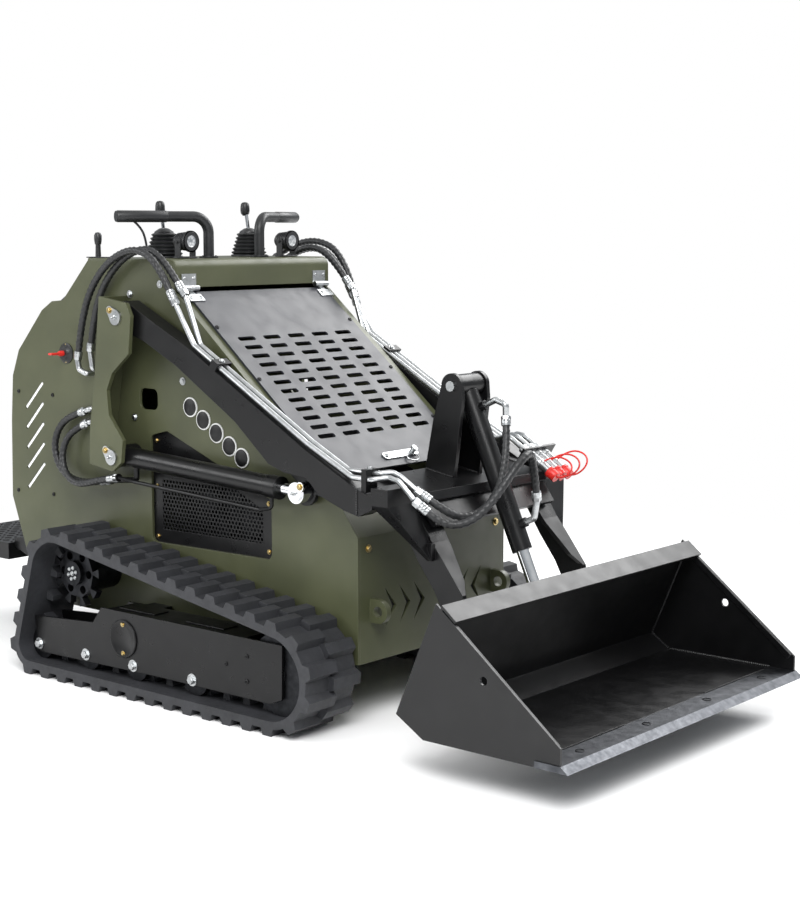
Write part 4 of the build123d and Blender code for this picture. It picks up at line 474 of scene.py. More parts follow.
def route_line(points, steps):
    """Points along the smooth line that has the given control points."""
    item = place_object("route", smooth_curve("route", points, steps))
    bpy.context.view_layer.update()
    data = bpy.data.meshes.new_from_object(item.evaluated_get(bpy.context.evaluated_depsgraph_get()))
    line_points = [vert.co.copy() for vert in data.vertices]
    bpy.data.objects.remove(item)
    bpy.data.meshes.remove(data)
    return line_points


def even_points(points, step):
    """Points at even steps along a dense line."""
    lengths = [0.0]
    for a, b in zip(points, points[1:]):
        lengths.append(lengths[-1] + (b - a).length)
    count = max(2, ceil(lengths[-1] / step))
    result = []
    k = 0
    for i in range(count + 1):
        target = lengths[-1] * i / count
        while k < len(points) - 2 and lengths[k + 1] < target:
            k += 1
        share = (target - lengths[k]) / max(lengths[k + 1] - lengths[k], 1e-9)
        result.append(points[k].lerp(points[k + 1], min(1.0, share)))
    return result


def add_hose(mesh, route):
    """One hose with the spiral guard that is wound round it, plain at both ends."""
    points = even_points(route_line(route, 40), HOSE_STEP)
    turn = 2 * pi * HOSE_STEP / WRAP_PITCH

    def ripple(i, share):
        if i < 4 or i > len(points) - 5:
            return 0.0
        return WRAP_HEIGHT * max(0.0, sin(turn * i - 2 * pi * share)) ** 0.5

    add_tube(mesh, points, HOSE_R, 14, ripple)


def arm_routes(side):
    """The routes of one side's arm hoses; the spare one runs on the left only."""
    routes = [ARM_HOSE_OUTER, ARM_HOSE_INNER] + ([ARM_HOSE_SPARE] if side > 0 else [])
    return [[(x, side * y, z) for x, y, z in route] for route in routes]


def lift_routes(side):
    """The routes of one side's lift cylinder hoses."""
    return [[(x, side * y, z) for x, y, z in route] for route in (LIFT_HOSE_FOOT, LIFT_HOSE_FRONT)]


def hose_piece(name, routes, node):
    """Hoses that run from one body to another, in place of their CAD node."""
    mesh = bmesh.new()
    for route in routes:
        add_hose(mesh, route)
    item = place_object(name, finish_mesh(name, mesh, "hose"))
    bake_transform(item)
    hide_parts(node)


def hoses():
    """All hoses, each running between the two bodies that it joins."""
    for name, side in NAMED_SIDES:
        hose_piece(f"arm_hose_lines_{name}", arm_routes(side),
                   f"arm_hoses_{name}")
        hose_piece(f"lift_hose_lines_{name}", lift_routes(side),
                   f"lift_hoses_{name}")
    hose_piece("tilt_hose_lines", [TILT_HOSE_LOW, TILT_HOSE_HIGH],
               "tilt_hoses")


def add_sleeve(mesh, route, length):
    """A crimped sleeve with its nut, over the plain ferrule behind a route's first point."""
    start = Vector(route[0])
    way = (start - Vector(route[1])).normalized()
    profile = [(-0.002, 0.0100), (-0.002, 0.0117)]
    grooves = 3 if length > 0.03 else 2
    crimp = length * 0.55
    for i in range(grooves):
        base = crimp * i / grooves
        for share, radius in ((0.2, 0.0122), (0.26, 0.0115), (0.31, 0.0122)):
            profile.append((base + crimp * share, radius))
    profile += [(crimp, 0.0122), (crimp + 0.001, 0.0112)]
    add_lathe(mesh, start, way, profile, 20)
    nut = ((0, 0.0125), (length * 0.32, 0.0125), (length * 0.36, 0.0112))
    add_lathe(mesh, start + way * (crimp + 0.002), way, nut, 6)


def sleeves():
    """Crimped sleeves at every hose end, grouped by the body that they sit on."""
    groups = {"chassis": [], "lift_arms": [], "tilt_barrel": []}
    for name, side in NAMED_SIDES:
        groups[f"lift_barrel_{name}"] = []
        for routes, body in ((arm_routes(side), "lift_arms"), (lift_routes(side), f"lift_barrel_{name}")):
            for route in routes:
                groups["chassis"].append((route, SHORT_SLEEVE))
                groups[body].append((route[::-1], SLEEVE_LENGTH))
    for route in (TILT_HOSE_LOW, TILT_HOSE_HIGH):
        groups["lift_arms"].append((route, SLEEVE_LENGTH))
        groups["tilt_barrel"].append((route[::-1], SHORT_SLEEVE))
    for body, rows in groups.items():
        mesh = bmesh.new()
        for route, length in rows:
            add_sleeve(mesh, route, length)
        add_piece(f"sleeves_{body}", mesh, body, "zinc")


# Fasteners and small trim
def side_bolts():
    """Bolts, badge discs and small plugs on the body's sides."""
    bolts = bmesh.new()
    plugs = bmesh.new()
    discs = bmesh.new()
    rims = bmesh.new()
    for side in SIDES:
        out = (0, side, 0)
        for x, z in ((-0.351, 1.059), (-0.230, 1.088), (-0.147, 0.833), (-0.341, 0.724)):
            add_bolt(bolts, (x, side * SIDE_FACE, z), out, 0.007)
        for x, z in ((-0.847, 0.765), (-0.692, 0.763), (-0.861, 0.472), (-0.699, 0.475)):
            add_button(plugs, (x, side * SIDE_FACE, z), out, 0.006)
        for x, z in ((-0.118, 0.766), (-0.069, 0.735), (-0.020, 0.704), (0.028, 0.673), (0.073, 0.646)):
            rim = ((-0.001, 0.0265), (0.0025, 0.0265), (0.0032, 0.0255), (0.0032, 0.0228))
            add_lathe(rims, (x, side * SIDE_FACE, z), out, rim, 32)
            face = ((0.0, 0.0228), (0.0038, 0.0228), (0.0042, 0.0222), (0.0042, 0.0))
            add_lathe(discs, (x, side * SIDE_FACE, z), out, face, 32)
    add_piece("side_bolts", bolts, "chassis", "zinc")
    add_piece("side_plugs", plugs, "chassis", "black")
    add_piece("badge_discs", discs, "chassis", "badge")
    add_piece("badge_rims", rims, "chassis", "badge_rim")


def flag_bolts():
    """The yellow bolt that holds each pin's flag, and a grease nipple in each pin."""
    rows = {"chassis": [], "lift_rod_right": [], "lift_rod_left": []}
    for name, side in NAMED_SIDES:
        rows["chassis"] += [(*ARM_PIVOT, 138, side), (*LIFT_FOOT, 138, side)]
        rows[f"lift_rod_{name}"].append((*LIFT_EYE, 42, side))
    reach = 0.027
    nipple = ((-0.001, 0.006), (0.003, 0.006), (0.004, 0.0035), (0.010, 0.0035), (0.012, 0.002), (0.013, 0))
    for body, pins in rows.items():
        bolts = bmesh.new()
        nipples = bmesh.new()
        face = FLAG_FACE if body == "chassis" else EYE_FACE
        for x, z, turn, side in pins:
            place = (x + reach * cos(radians(turn)), side * face, z + reach * sin(radians(turn)))
            add_bolt(bolts, place, (0, side, 0), 0.0065, 1.35)
            add_lathe(nipples, (x, side * face, z), (0, side, 0), nipple, 12)
        add_piece(f"flag_bolts_{body}", bolts, body, "brass")
        add_piece(f"grease_nipples_{body}", nipples, body, "zinc")


def pin_ends():
    """Retaining heads on the tower pin and the bucket's pins."""
    tower = bmesh.new()
    for side in SIDES:
        add_lathe(tower, (TOWER_PIN[0], side * 0.058, TOWER_PIN[1]), (0, side, 0),
                  ((0, 0.013), (0.003, 0.013), (0.004, 0.012), (0.004, 0)), 28)
    add_piece("tower_pin_heads", tower, "lift_arms", "zinc")
    bucket = bmesh.new()
    for side in SIDES:
        for y in (0.229, 0.277):
            way = 1 if y > 0.25 else -1
            add_lathe(bucket, (BUCKET_PIVOT[0], side * y, BUCKET_PIVOT[1]), (0, side * way, 0),
                      ((0, 0.020), (0.004, 0.020), (0.005, 0.018), (0.005, 0)), 28)
        add_bolt(bucket, (TILT_EYE[0], side * 0.044, TILT_EYE[1]), (0, side, 0), 0.010)
    add_piece("bucket_pin_heads", bucket, "bucket", "zinc")


def track_frame_trim():
    """Axle bolts, covers and inspection plates on the track frames."""
    zinc = bmesh.new()
    yellow = bmesh.new()
    black = bmesh.new()
    for side in SIDES:
        out = (0, side, 0)
        for x, z in ROLLERS:
            add_bolt(zinc, (x, side * TRACK_PLATE, z), out, 0.011, 1.5)
        cover = ((-0.001, 0.052), (0.003, 0.052), (0.005, 0.050), (0.005, 0.044), (0.0035, 0.042),
                 (0.0035, 0))
        add_lathe(black, (-0.224, side * TRACK_PLATE, 0.150), out, cover, 40)
        for z in (0.110, 0.190):
            add_bolt(yellow, (-0.224, side * (TRACK_PLATE + 0.003), z), out, 0.005)
        for x, z in ((0.240, 0.176), (0.240, 0.112), (0.165, 0.145)):
            add_button(black, (x, side * TRACK_PLATE, z), out, 0.006)
        for x in (-0.20, 0.06):
            add_box(black, (x, side * 0.405, 0.2235), (0.14, 0.05, 0.003), chamfer=0.001)
    add_piece("axle_bolts", zinc, "chassis", "zinc")
    add_piece("cover_bolts", yellow, "chassis", "brass")
    add_piece("frame_covers", black, "chassis", "black")


def wheel_trim():
    """A centre bolt and six more bolts on each sprocket."""
    zinc = bmesh.new()
    for side in SIDES:
        out = (0, side, 0)
        add_bolt(zinc, (SPROCKET[0], side * SPROCKET_FACE, SPROCKET[1]), out, 0.005, 1.3)
        for k in range(6):
            a = 2 * pi * k / 6 + 0.3
            place = (SPROCKET[0] + 0.016 * cos(a), side * SPROCKET_FACE, SPROCKET[1] + 0.016 * sin(a))
            add_bolt(zinc, place, out, 0.0042, 1.2)
    add_piece("sprocket_bolts", zinc, "chassis", "zinc")


def mesh_screens():
    """Perforated screens with staggered round holes in a plain frame, in place of the plain grilles."""
    outline = ((-0.288, 0.376), (0.187, 0.380), (0.187, 0.552), (-0.210, 0.705), (-0.288, 0.689))
    corners = ((-0.243, 0.424), (0.138, 0.427), (0.138, 0.515), (0.040, 0.560), (-0.243, 0.560))
    mesh = bmesh.new()
    pitch = 0.0125
    reach = pitch / 3 ** 0.5
    for side in SIDES:
        row = 0
        z = 0.372
        while z < 0.71:
            x = -0.292 + (pitch / 2 if row % 2 else 0)
            while x < 0.192:
                if inside_grown(corners, x, z, 0.008):
                    add_screen_cell(mesh, x, z, side, reach)
                x += pitch
            z += pitch * 3 ** 0.5 / 2
            row += 1
    bmesh.ops.remove_doubles(mesh, verts=mesh.verts, dist=0.0001)
    add_piece("mesh_screens", mesh, "chassis", "black")
    sheets = bmesh.new()
    bolts = bmesh.new()
    for side in SIDES:
        rings = []
        for y, line in ((0.2870, outline), (SCREEN_FACE, outline), (0.2920, corners), (0.2870, corners)):
            rings.append([sheets.verts.new((x, side * y, z)) for x, z in line])
        for low, high in zip(rings, rings[1:] + rings[:1]):
            for k in range(5):
                sheets.faces.new((low[k], low[(k + 1) % 5], high[(k + 1) % 5], high[k]))
        for x, z in ((-0.262, 0.402), (-0.262, 0.665), (0.160, 0.408), (0.160, 0.534), (-0.262, 0.540)):
            add_bolt(bolts, (x, side * 0.2918, z), (0, side, 0), 0.005, 1.3)
    item = add_piece("screen_frames", sheets, "chassis", "black")
    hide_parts("side_grilles")
    add_piece("screen_bolts", bolts, "chassis", "brass")


def engine_bay():
    """A fan in its ring, a box and a filter, glimpsed through the screens; all three are guessed."""
    mesh = bmesh.new()
    fan_x, fan_z, blades = -0.130, 0.505, 7
    ring = ((0, 0.112), (0.036, 0.112), (0.036, 0.100), (0.012, 0.095), (0.012, 0.03), (0.046, 0.028),
            (0.046, 0))
    filter_end = ((0, 0.040), (0.02, 0.040), (0.025, 0.035), (0.025, 0))
    for side in SIDES:
        add_lathe(mesh, (fan_x, side * 0.179, fan_z), (0, side, 0), ring, 40)
        for k in range(blades):
            a = 2 * pi * k / blades
            place = (fan_x + 0.063 * cos(a), side * 0.203, fan_z + 0.063 * sin(a))
            axes = ((cos(a), 0, sin(a)), (0, 1, 0.3), (-sin(a), 0, cos(a)))
            add_box(mesh, place, (0.076, 0.022, 0.004), axes)
        add_box(mesh, (0.045, side * 0.200, 0.46), (0.10, 0.044, 0.12), chamfer=0.004)
        add_lathe(mesh, (0.045, side * 0.221, 0.46), (0, side, 0), filter_end, 28)
    add_piece("engine_bay_parts", mesh, "chassis", "cast")


def inside_grown(corners, x, z, grow):
    """True inside a counter-clockwise outline that is grown by a margin."""
    for (ax, az), (bx, bz) in zip(corners, corners[1:] + corners[:1]):
        length = hypot(bx - ax, bz - az)
        if ((bx - ax) * (z - az) - (bz - az) * (x - ax)) / length < -grow:
            return False
    return True


def add_screen_cell(mesh, x, z, side, reach):
    """One six-sided cell of the screen with a round hole, on both faces of the sheet."""
    outer = []
    inner = []
    for y in (side * SCREEN_FACE, side * SCREEN_INSIDE):
        for rings, radius in ((outer, reach), (inner, reach * 0.66)):
            ring = []
            for k in range(6):
                ring.append(mesh.verts.new((x + radius * sin(pi * k / 3), y, z + radius * cos(pi * k / 3))))
            rings.append(ring)
    for k in range(6):
        n = (k + 1) % 6
        mesh.faces.new((outer[0][k], outer[0][n], inner[0][n], inner[0][k]))
        mesh.faces.new((outer[1][n], outer[1][k], inner[1][k], inner[1][n]))
        mesh.faces.new((inner[0][k], inner[0][n], inner[1][n], inner[1][k]))


def slot_light_strips():
    """Pale strips set into the rear slots: painted light, for the light that shows through them."""
    mesh = bmesh.new()
    slope = radians(44.7)
    axes = ((cos(slope), 0, sin(slope)), (-sin(slope), 0, cos(slope)), (0, 1, 0))
    for side in SIDES:
        for k in range(5):
            add_box(mesh, (-0.776, side * 0.2945, 0.757 - 0.0586 * k), (0.106, 0.0086, 0.008), axes)
    # white strips: painted light in the slots
    add_piece("painted_slot_light", mesh, "chassis", "slot_light")


# Controls
def joystick_set():
    """Bellows boots, leaning sticks and knobs."""
    boots = bmesh.new()
    sticks = bmesh.new()
    shafts = bmesh.new()
    for side in SIDES:
        foot = Vector((-0.359, side * 0.165, HOOD_TOP))
        add_lathe(boots, foot, (0, 0, 1), ((0, 0.052), (0.004, 0.052), (0.006, 0.050), (0.006, 0.046)), 40)
        profile = [(0.006, 0.044)]
        folds = 6
        for i in range(folds):
            base = 0.008 + 0.062 * i / folds
            wide = 0.051 - 0.019 * (i + 0.3) / folds
            profile += [(base + 0.002, wide), (base + 0.005, wide + 0.001), (base + 0.0085, wide - 0.007)]
        profile += [(0.072, 0.026), (0.080, 0.014), (0.082, 0.007)]
        add_lathe(boots, foot, (0, 0, 1), profile, 40)
        lean = Vector((-0.014, 0, 0.157 - 0.078)).normalized()
        start = foot + Vector((0, 0, 0.070))
        add_tube(shafts, [start, start + lean * 0.055], 0.005, 14)
        knob = ((0, 0.007), (0.003, 0.009), (0.006, 0.012), (0.014, 0.0135), (0.026, 0.013), (0.034, 0.0115),
                (0.038, 0.008), (0.0395, 0))
        add_lathe(sticks, Vector((-0.373, side * 0.165, 1.2722)), (0, 0, 1), knob, 24)
    boots_item = add_piece("joystick_boots", boots, "chassis", "plastic")
    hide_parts("joysticks")
    add_piece("joystick_knobs", sticks, "chassis", "plastic")
    add_piece("joystick_shafts", shafts, "chassis", "chrome")


def lamp_set():
    """Work lamps with finned housings, bezels, lenses and brackets."""
    body = bmesh.new()
    lens = bmesh.new()
    back = (-1, 0, 0)
    fins = [(0.001, 0.029), (0.007, 0.029), (0.008, 0.0265)]
    for i in range(4):
        base = 0.010 + 0.010 * i
        high, low = 0.0262 - 0.001 * i, 0.0235 - 0.001 * i
        fins += [(base, high), (base + 0.006, high), (base + 0.0065, low), (base + 0.0095, low)]
    fins += [(0.052, 0.020), (0.060, 0.013), (0.061, 0.0)]
    bezel = ((0.0, 0.029), (0.0, 0.0255), (0.004, 0.0245), (0.004, 0.0))
    bulb = ((-0.0005, 0.0), (-0.0004, 0.012), (0.0005, 0.020), (0.0035, 0.0245))
    for side in SIDES:
        y = side * LAMP_Y
        face = (-0.215, y, LAMP_Z)
        add_lathe(body, face, back, fins, 36)
        add_lathe(body, face, back, bezel, 36)
        add_lathe(lens, face, back, bulb, 36)
        for offset in SIDES:
            add_box(body, (-0.240, y + offset * 0.0270, 1.182), (0.022, 0.003, 0.052), chamfer=0.0008)
        add_box(body, (-0.240, y, 1.1575), (0.026, 0.065, 0.004), chamfer=0.001)
        for offset in SIDES:
            add_bolt(body, (-0.240, y + offset * 0.0285, LAMP_Z), (0, offset, 0), 0.005, 1.3)
    item = add_piece("lamp_housings", body, "chassis", "plastic")
    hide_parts("work_lamps")
    add_piece("lamp_lenses", lens, "chassis", "lens")


def isolator():
    """Battery isolator: a black bezel and a red key, on the right side."""
    black = bmesh.new()
    red = bmesh.new()
    screws = bmesh.new()
    place = Vector((-0.625, -SIDE_FACE, 0.886))
    out = (0, -1, 0)
    bezel = ((-0.001, 0.029), (0.003, 0.029), (0.005, 0.024), (0.014, 0.018), (0.014, 0))
    add_lathe(black, place, out, bezel, 36)
    for k in range(2):
        a = pi / 2 + pi * k
        add_button(screws, place + Vector((0.024 * cos(a), -0.0035, 0.024 * sin(a))), out, 0.0035)
    add_lathe(red, place, out, ((0.012, 0.008), (0.024, 0.008), (0.030, 0.006), (0.030, 0)), 20)
    add_box(red, place + Vector((0, -0.045, 0)), (0.016, 0.030, 0.0065), chamfer=0.002)
    item = add_piece("isolator_bezel", black, "chassis", "plastic")
    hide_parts("battery_isolator")
    add_piece("isolator_key", red, "chassis", "red")
    add_piece("isolator_screws", screws, "chassis", "brass")


def throttle():
    """Throttle lever with a knob, on a plain plate."""
    mesh = bmesh.new()
    foot = Vector((-0.500, -0.282, HOOD_TOP))
    add_box(mesh, foot + Vector((0, 0, 0.0015)), (0.07, 0.028, 0.003), chamfer=0.001)
    add_lathe(mesh, foot, (0, 0, 1), ((0.003, 0.0080), (0.036, 0.0070), (0.038, 0.009), (0.050, 0.0105),
                                      (0.062, 0.0105), (0.069, 0.007), (0.0705, 0)), 24)
    item = add_piece("throttle_knob", mesh, "chassis", "plastic")
    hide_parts("throttle_lever")


def grips():
    """Foam grips with rounded ends on the handlebars, and a thin bail rod below the right one."""
    mesh = bmesh.new()
    for side in SIDES:
        foot = Vector((-0.251, side * 0.099, 1.268))
        end = Vector((-0.347, side * 0.348, 1.268))
        way = (end - foot).normalized()
        start = end - way * 0.145
        profile = ((0, 0.0146), (0.002, 0.0158), (0.140, 0.0160), (0.1445, 0.0140), (0.1449, 0))
        add_lathe(mesh, start, way, profile, 24)
        for k in range(3):
            a = 2 * pi * k / 3 + 0.5
            place = (-0.251 + 0.0205 * cos(a), side * 0.099 + 0.0205 * sin(a), HOOD_TOP + 0.005)
            add_bolt(mesh, place, (0, 0, 1), 0.0028, 1.2)
    bail = ((-0.331, -0.300, 1.256), (-0.327, -0.278, 1.240), (-0.324, -0.262, 1.205),
            (-0.324, -0.256, 1.158))
    add_tube(mesh, even_points(route_line(bail, 12), 0.006), 0.0032, 10)
    add_piece("handle_grips", mesh, "chassis", "plastic")


def slope_axes(low, high):
    """The way up a sloping face, from two points on it, and the way out of it to the rear."""
    up = (high - low).normalized()
    return up, Vector((-up.z, 0, up.x))


def dash():
    """Plain instrument plate with blank gauges and switches on the dash."""
    plate = bmesh.new()
    dials = bmesh.new()
    low = Vector((-0.636, 0, 1.035))
    high = Vector((-0.523, 0, 1.149))
    up, out = slope_axes(low, high)
    middle = (low + high) / 2
    face = middle + out * 0.006
    add_box(plate, middle + out * 0.0035, (0.36, 0.11, 0.005), ((0, 1, 0), up, out), 0.0015)
    rim = ((0, 0.026), (0.006, 0.026), (0.007, 0.024), (0.004, 0.022), (0.004, 0))
    for y in (-0.12, -0.055, 0.01):
        centre = face + Vector((0, y, 0))
        add_lathe(plate, centre, out, rim, 32)
        add_lathe(dials, centre + out * 0.0042, out, ((0, 0.021), (0.0005, 0.021), (0.0005, 0)), 32)
    switch = ((0, 0.011), (0.003, 0.011), (0.012, 0.007), (0.012, 0))
    for y in (0.07, 0.105, 0.14):
        add_lathe(plate, face + Vector((0, y, 0)), out, switch, 20)
    for y in (-0.17, 0.17):
        for shift in (-0.045, 0.045):
            add_button(plate, face + Vector((0, y, 0)) + up * shift, out, 0.004)
    add_piece("dash_plate", plate, "chassis", "plastic")
    add_piece("dash_dials", dials, "chassis", "badge_rim")


def pad():
    """The stuffed thigh pad: crowned, pulled in at its ends, with a piped seam all round."""
    line = [(-0.6655, 1.0328), (-0.685, 1.031), (-0.731, 1.004), (-0.7487, 0.985)]
    outer = [(-0.668, 1.0585), (-0.692, 1.0555), (-0.7475, 1.0215), (-0.7675, 1.001)]
    section = [along(outer, t / 6) for t in range(7)]
    mesh = bmesh.new()
    rings = []
    steps = 40
    half = 0.248
    for i in range(steps + 1):
        y = -half + 2 * half * i / steps
        close = 1 - abs(y) / half
        fill = min(1.0, (close / 0.06) ** 0.5 if close > 0 else 0.0)
        ring = []
        for t, (x, z) in enumerate(section):
            base = along(line, t / 6)
            crown = 0.25 + 0.75 * fill * (0.82 + 0.18 * sin(pi * t / 6))
            ring.append(mesh.verts.new((base[0] + (x - base[0]) * crown, y, base[1] + (z - base[1]) * crown)))
        for t in range(6, -1, -1):
            base = along(line, t / 6)
            ring.append(mesh.verts.new((base[0], y, base[1])))
        rings.append(ring)
    for low, high in zip(rings, rings[1:]):
        count = len(low)
        for k in range(count):
            mesh.faces.new((low[k], low[(k + 1) % count], high[(k + 1) % count], high[k]))
    mesh.faces.new(rings[0])
    mesh.faces.new(rings[-1][::-1])
    item = place_object("thigh_cushion", finish_mesh("thigh_cushion", mesh, "pad"))
    round_off = item.modifiers.new("rounding", "SUBSURF")
    round_off.levels = 2
    round_off.render_levels = 2
    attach(item, "chassis")
    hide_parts("thigh_pad")
    seam = bmesh.new()
    for t in (0.12, 0.88):
        x, z = along(outer, t)
        bx, bz = along(line, t)
        x, z = bx + (x - bx) * 0.9, bz + (z - bz) * 0.9
        add_tube(seam, [(x, -0.236 + 0.472 * i / 12, z) for i in range(13)], 0.0022, 8)
    add_piece("cushion_piping", seam, "chassis", "pad")


def along(line, share):
    """The point at a share of a bent line's points, in side view."""
    position = share * (len(line) - 1)
    k = min(int(position), len(line) - 2)
    t = position - k
    return (line[k][0] + (line[k + 1][0] - line[k][0]) * t, line[k][1] + (line[k + 1][1] - line[k][1]) * t)


# Guard, arms, couplers, bucket and platform
def slope_point(start, slope, down, y, height):
    """A point by its distance down a slope from a start in side view, its y and its height over the slope."""
    slope = radians(slope)
    return Vector((start[0] + down * cos(slope) + height * sin(slope), y,
                   start[1] - down * sin(slope) + height * cos(slope)))


def guard_point(down, y, height):
    """A point on the guard by its distance down the slope, its y and its height over the face."""
    return slope_point(GUARD_TOP, GUARD_SLOPE, down, y, height)


def guard_trim():
    """Latch pin, its wire loop and screws on the guard."""
    slope = radians(GUARD_SLOPE)
    out = Vector((sin(slope), 0, cos(slope)))
    zinc = bmesh.new()
    pin = ((0, 0.010), (0.004, 0.010), (0.005, 0.008), (0.005, 0))
    add_lathe(zinc, guard_point(0.656, 0.060, 0.016), out, pin, 24)
    loop = []
    for i in range(25):
        a = 2 * pi * i / 24
        loop.append(guard_point(0.676 + 0.012 * cos(a), 0.045 + 0.022 * sin(a), 0.006))
    add_tube(zinc, loop, 0.0016, 8)
    add_button(zinc, guard_point(0.656, -0.044, 0.004), out, 0.006)
    add_piece("latch_pin", zinc, "guard_plate", "zinc")
    screws = bmesh.new()
    for y in (-0.262, 0.262):
        for down in (0.14, 0.34, 0.54):
            add_button(screws, guard_point(down, y, 0), out, 0.006)
    add_piece("guard_screws", screws, "guard_plate", "black")
    hinge = bmesh.new()
    leaf = bmesh.new()
    for side in SIDES:
        for offset in HINGE_SCREWS:
            y = side * HINGE_Y + offset
            add_button(hinge, guard_point(0.026, y, 0.003), out, 0.0045)
            add_button(leaf, (-0.165, y, 1.104), (1, 0, 0), 0.0045)
    add_piece("hinge_screws", hinge, "guard_plate", "zinc")
    add_piece("leaf_screws", leaf, "chassis", "zinc")


def front_bolts():
    """Bolts beside the tie-down lugs, and a near-black sheet behind the chevrons as painted shade in their
    openings.
    """
    mesh = bmesh.new()
    for side in SIDES:
        add_bolt(mesh, (0.472, side * 0.261, 0.450), (1, 0, 0), 0.007)
    add_piece("front_bolts", mesh, "chassis", "brass")
    # a near-black sheet behind the chevron openings: painted shade
    back = bmesh.new()
    add_box(back, (0.462, 0, 0.290), (0.004, 0.44, 0.14), chamfer=0.001)
    add_piece("chevron_painted_shade", back, "chassis", "bay_paint_and_shade")


def add_weld(mesh, start, end, radius=0.0035):
    """A rippled weld bead along a joint."""
    start, end = Vector(start), Vector(end)
    count = max(4, ceil((end - start).length / 0.003))
    points = [start.lerp(end, i / count) for i in range(count + 1)]
    add_tube(mesh, points, radius, 7, lambda i, _: 0.0006 if i % 2 else -0.0006)


def welds():
    """Weld beads at the tower, the brackets, the bucket and the arms' front joints."""
    arm = bmesh.new()
    for side in SIDES:
        for y in (0.046, 0.058):
            add_weld(arm, (0.490, side * y, 0.6305), (0.579, side * y, 0.6155))
        add_weld(arm, (0.526, side * 0.365, 0.552), (0.526, side * 0.365, 0.615), 0.003)
        add_weld(arm, (0.490, side * 0.246, 0.630), (0.575, side * 0.246, 0.616))
    add_piece("arm_welds", arm, "lift_arms", "black")
    body = bmesh.new()
    for side in SIDES:
        add_weld(body, (-0.431, side * 0.300, 0.600), (-0.425, side * 0.300, 0.700))
        add_weld(body, (-0.425, side * 0.300, 0.700), (-0.400, side * 0.300, 0.850))
        add_weld(body, (-0.400, side * 0.300, 0.850), (-0.378, side * 0.300, 1.050))
    add_piece("bracket_welds", body, "chassis", "olive")
    bucket = bmesh.new()
    for side in SIDES:
        y = side * 0.518
        add_weld(bucket, (0.813, y, 0.149), (0.917, y, 0.400))
        add_weld(bucket, (0.868, y, 0.113), (1.170, y, 0.113))
        add_weld(bucket, (0.813, y, 0.148), (0.866, y, 0.113))
    for y in (-0.33, 0.33):
        add_weld(bucket, (1.172, y - 0.15, 0.1125), (1.172, y + 0.15, 0.1125), 0.0025)
    add_piece("bucket_welds", bucket, "bucket", "bucket")


def clamp_bolts():
    """Bolts on the tube clamps and a bolt on the right front clamp."""
    mesh = bmesh.new()
    for y in (-0.339, 0.333):
        add_bolt(mesh, (0.0432, y, 0.8980), (0.490, 0, 0.871), 0.0055)
    add_bolt(mesh, (0.5435, -0.339, 0.664), (0, 0, 1), 0.0055)
    add_piece("clamp_bolts", mesh, "lift_arms", "zinc")


def coupler_point(distance, y, rise=0.0):
    """A point on a coupler's axis, or risen from it."""
    return slope_point(COUPLER_CENTRE, COUPLER_SLOPE, distance, y, rise)


def coupler_trim():
    """Collars on the couplers, ribs on their caps, and red tether loops."""
    slope = radians(COUPLER_SLOPE)
    way = (cos(slope), 0, -sin(slope))
    zinc = bmesh.new()
    caps = bmesh.new()
    collar = [(0, 0.0122), (0.002, 0.0136)]
    for i in range(5):
        base = 0.004 + 0.004 * i
        collar += [(base, 0.0136), (base + 0.001, 0.0128), (base + 0.002, 0.0128), (base + 0.003, 0.0136)]
    collar += [(0.028, 0.0136), (0.030, 0.0122)]
    nut = ((0, 0.0128), (0.012, 0.0128), (0.014, 0.0118))
    shell = ((0, 0.0150), (0.004, 0.0162), (0.007, 0.0162), (0.009, 0.0146), (0.022, 0.0146), (0.027, 0.0128),
             (0.0285, 0))
    for y in COUPLER_Y:
        add_lathe(zinc, coupler_point(0.018, y), way, collar, 28)
        add_lathe(zinc, coupler_point(-0.022, y), way, nut, 6)
        add_lathe(caps, coupler_point(0.078, y), way, shell, 32)
    add_piece("coupler_collars", zinc, "lift_arms", "zinc")
    add_piece("cap_shells", caps, "lift_arms", "red")
    for i, y in enumerate(COUPLER_Y):
        lift = 0.050 + 0.008 * i
        points = [
            coupler_point(0.104, y), coupler_point(0.120, y + 0.004, 0.008),
            coupler_point(0.130, y + 0.014, lift * 0.7), coupler_point(0.112, y + 0.022, lift),
            coupler_point(0.078, y + 0.020, lift * 0.9), coupler_point(0.056, y + 0.008, lift * 0.5),
            coupler_point(0.052, y, 0.0135),
        ]
        tether(f"cap_tether_{i + 1}", points)


def tether(name, points):
    """A thin red cord from a cap back to its coupler."""
    curve = smooth_curve(name, points, 12)
    curve.bevel_depth = TETHER_R
    curve.bevel_resolution = 3
    curve.use_fill_caps = True
    curve.materials.append(LOOKS["red"])
    item = place_object(name, curve)
    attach(item, "lift_arms")
    dense = route_line(points, 40)


def bucket_trim():
    """Bolts on the cutting edge and a stiffening bar along each side plate."""
    bolts = bmesh.new()
    head = ((-0.001, 0.011), (0.0015, 0.011), (0.002, 0.009), (0.0005, 0.0085), (0.0005, 0))
    for y in (-0.405, -0.135, 0.135, 0.405):
        add_lathe(bolts, (1.206, y, 0.112), (0, 0, 1), head, 24)
    add_piece("edge_bolts", bolts, "bucket", "cast")
    bars = bmesh.new()
    for side in SIDES:
        a = Vector((0.9135, side * 0.5165, 0.3985))
        b = Vector((1.228, side * 0.5165, 0.1505))
        way = (b - a).normalized()
        across = Vector((way.z, 0, -way.x))
        size = ((b - a).length, 0.016, 0.005)
        add_box(bars, (a + b) / 2 + across * 0.004, size, (way, across, (0, 1, 0)), 0.001)
    add_piece("bucket_side_bars", bars, "bucket", "bucket")


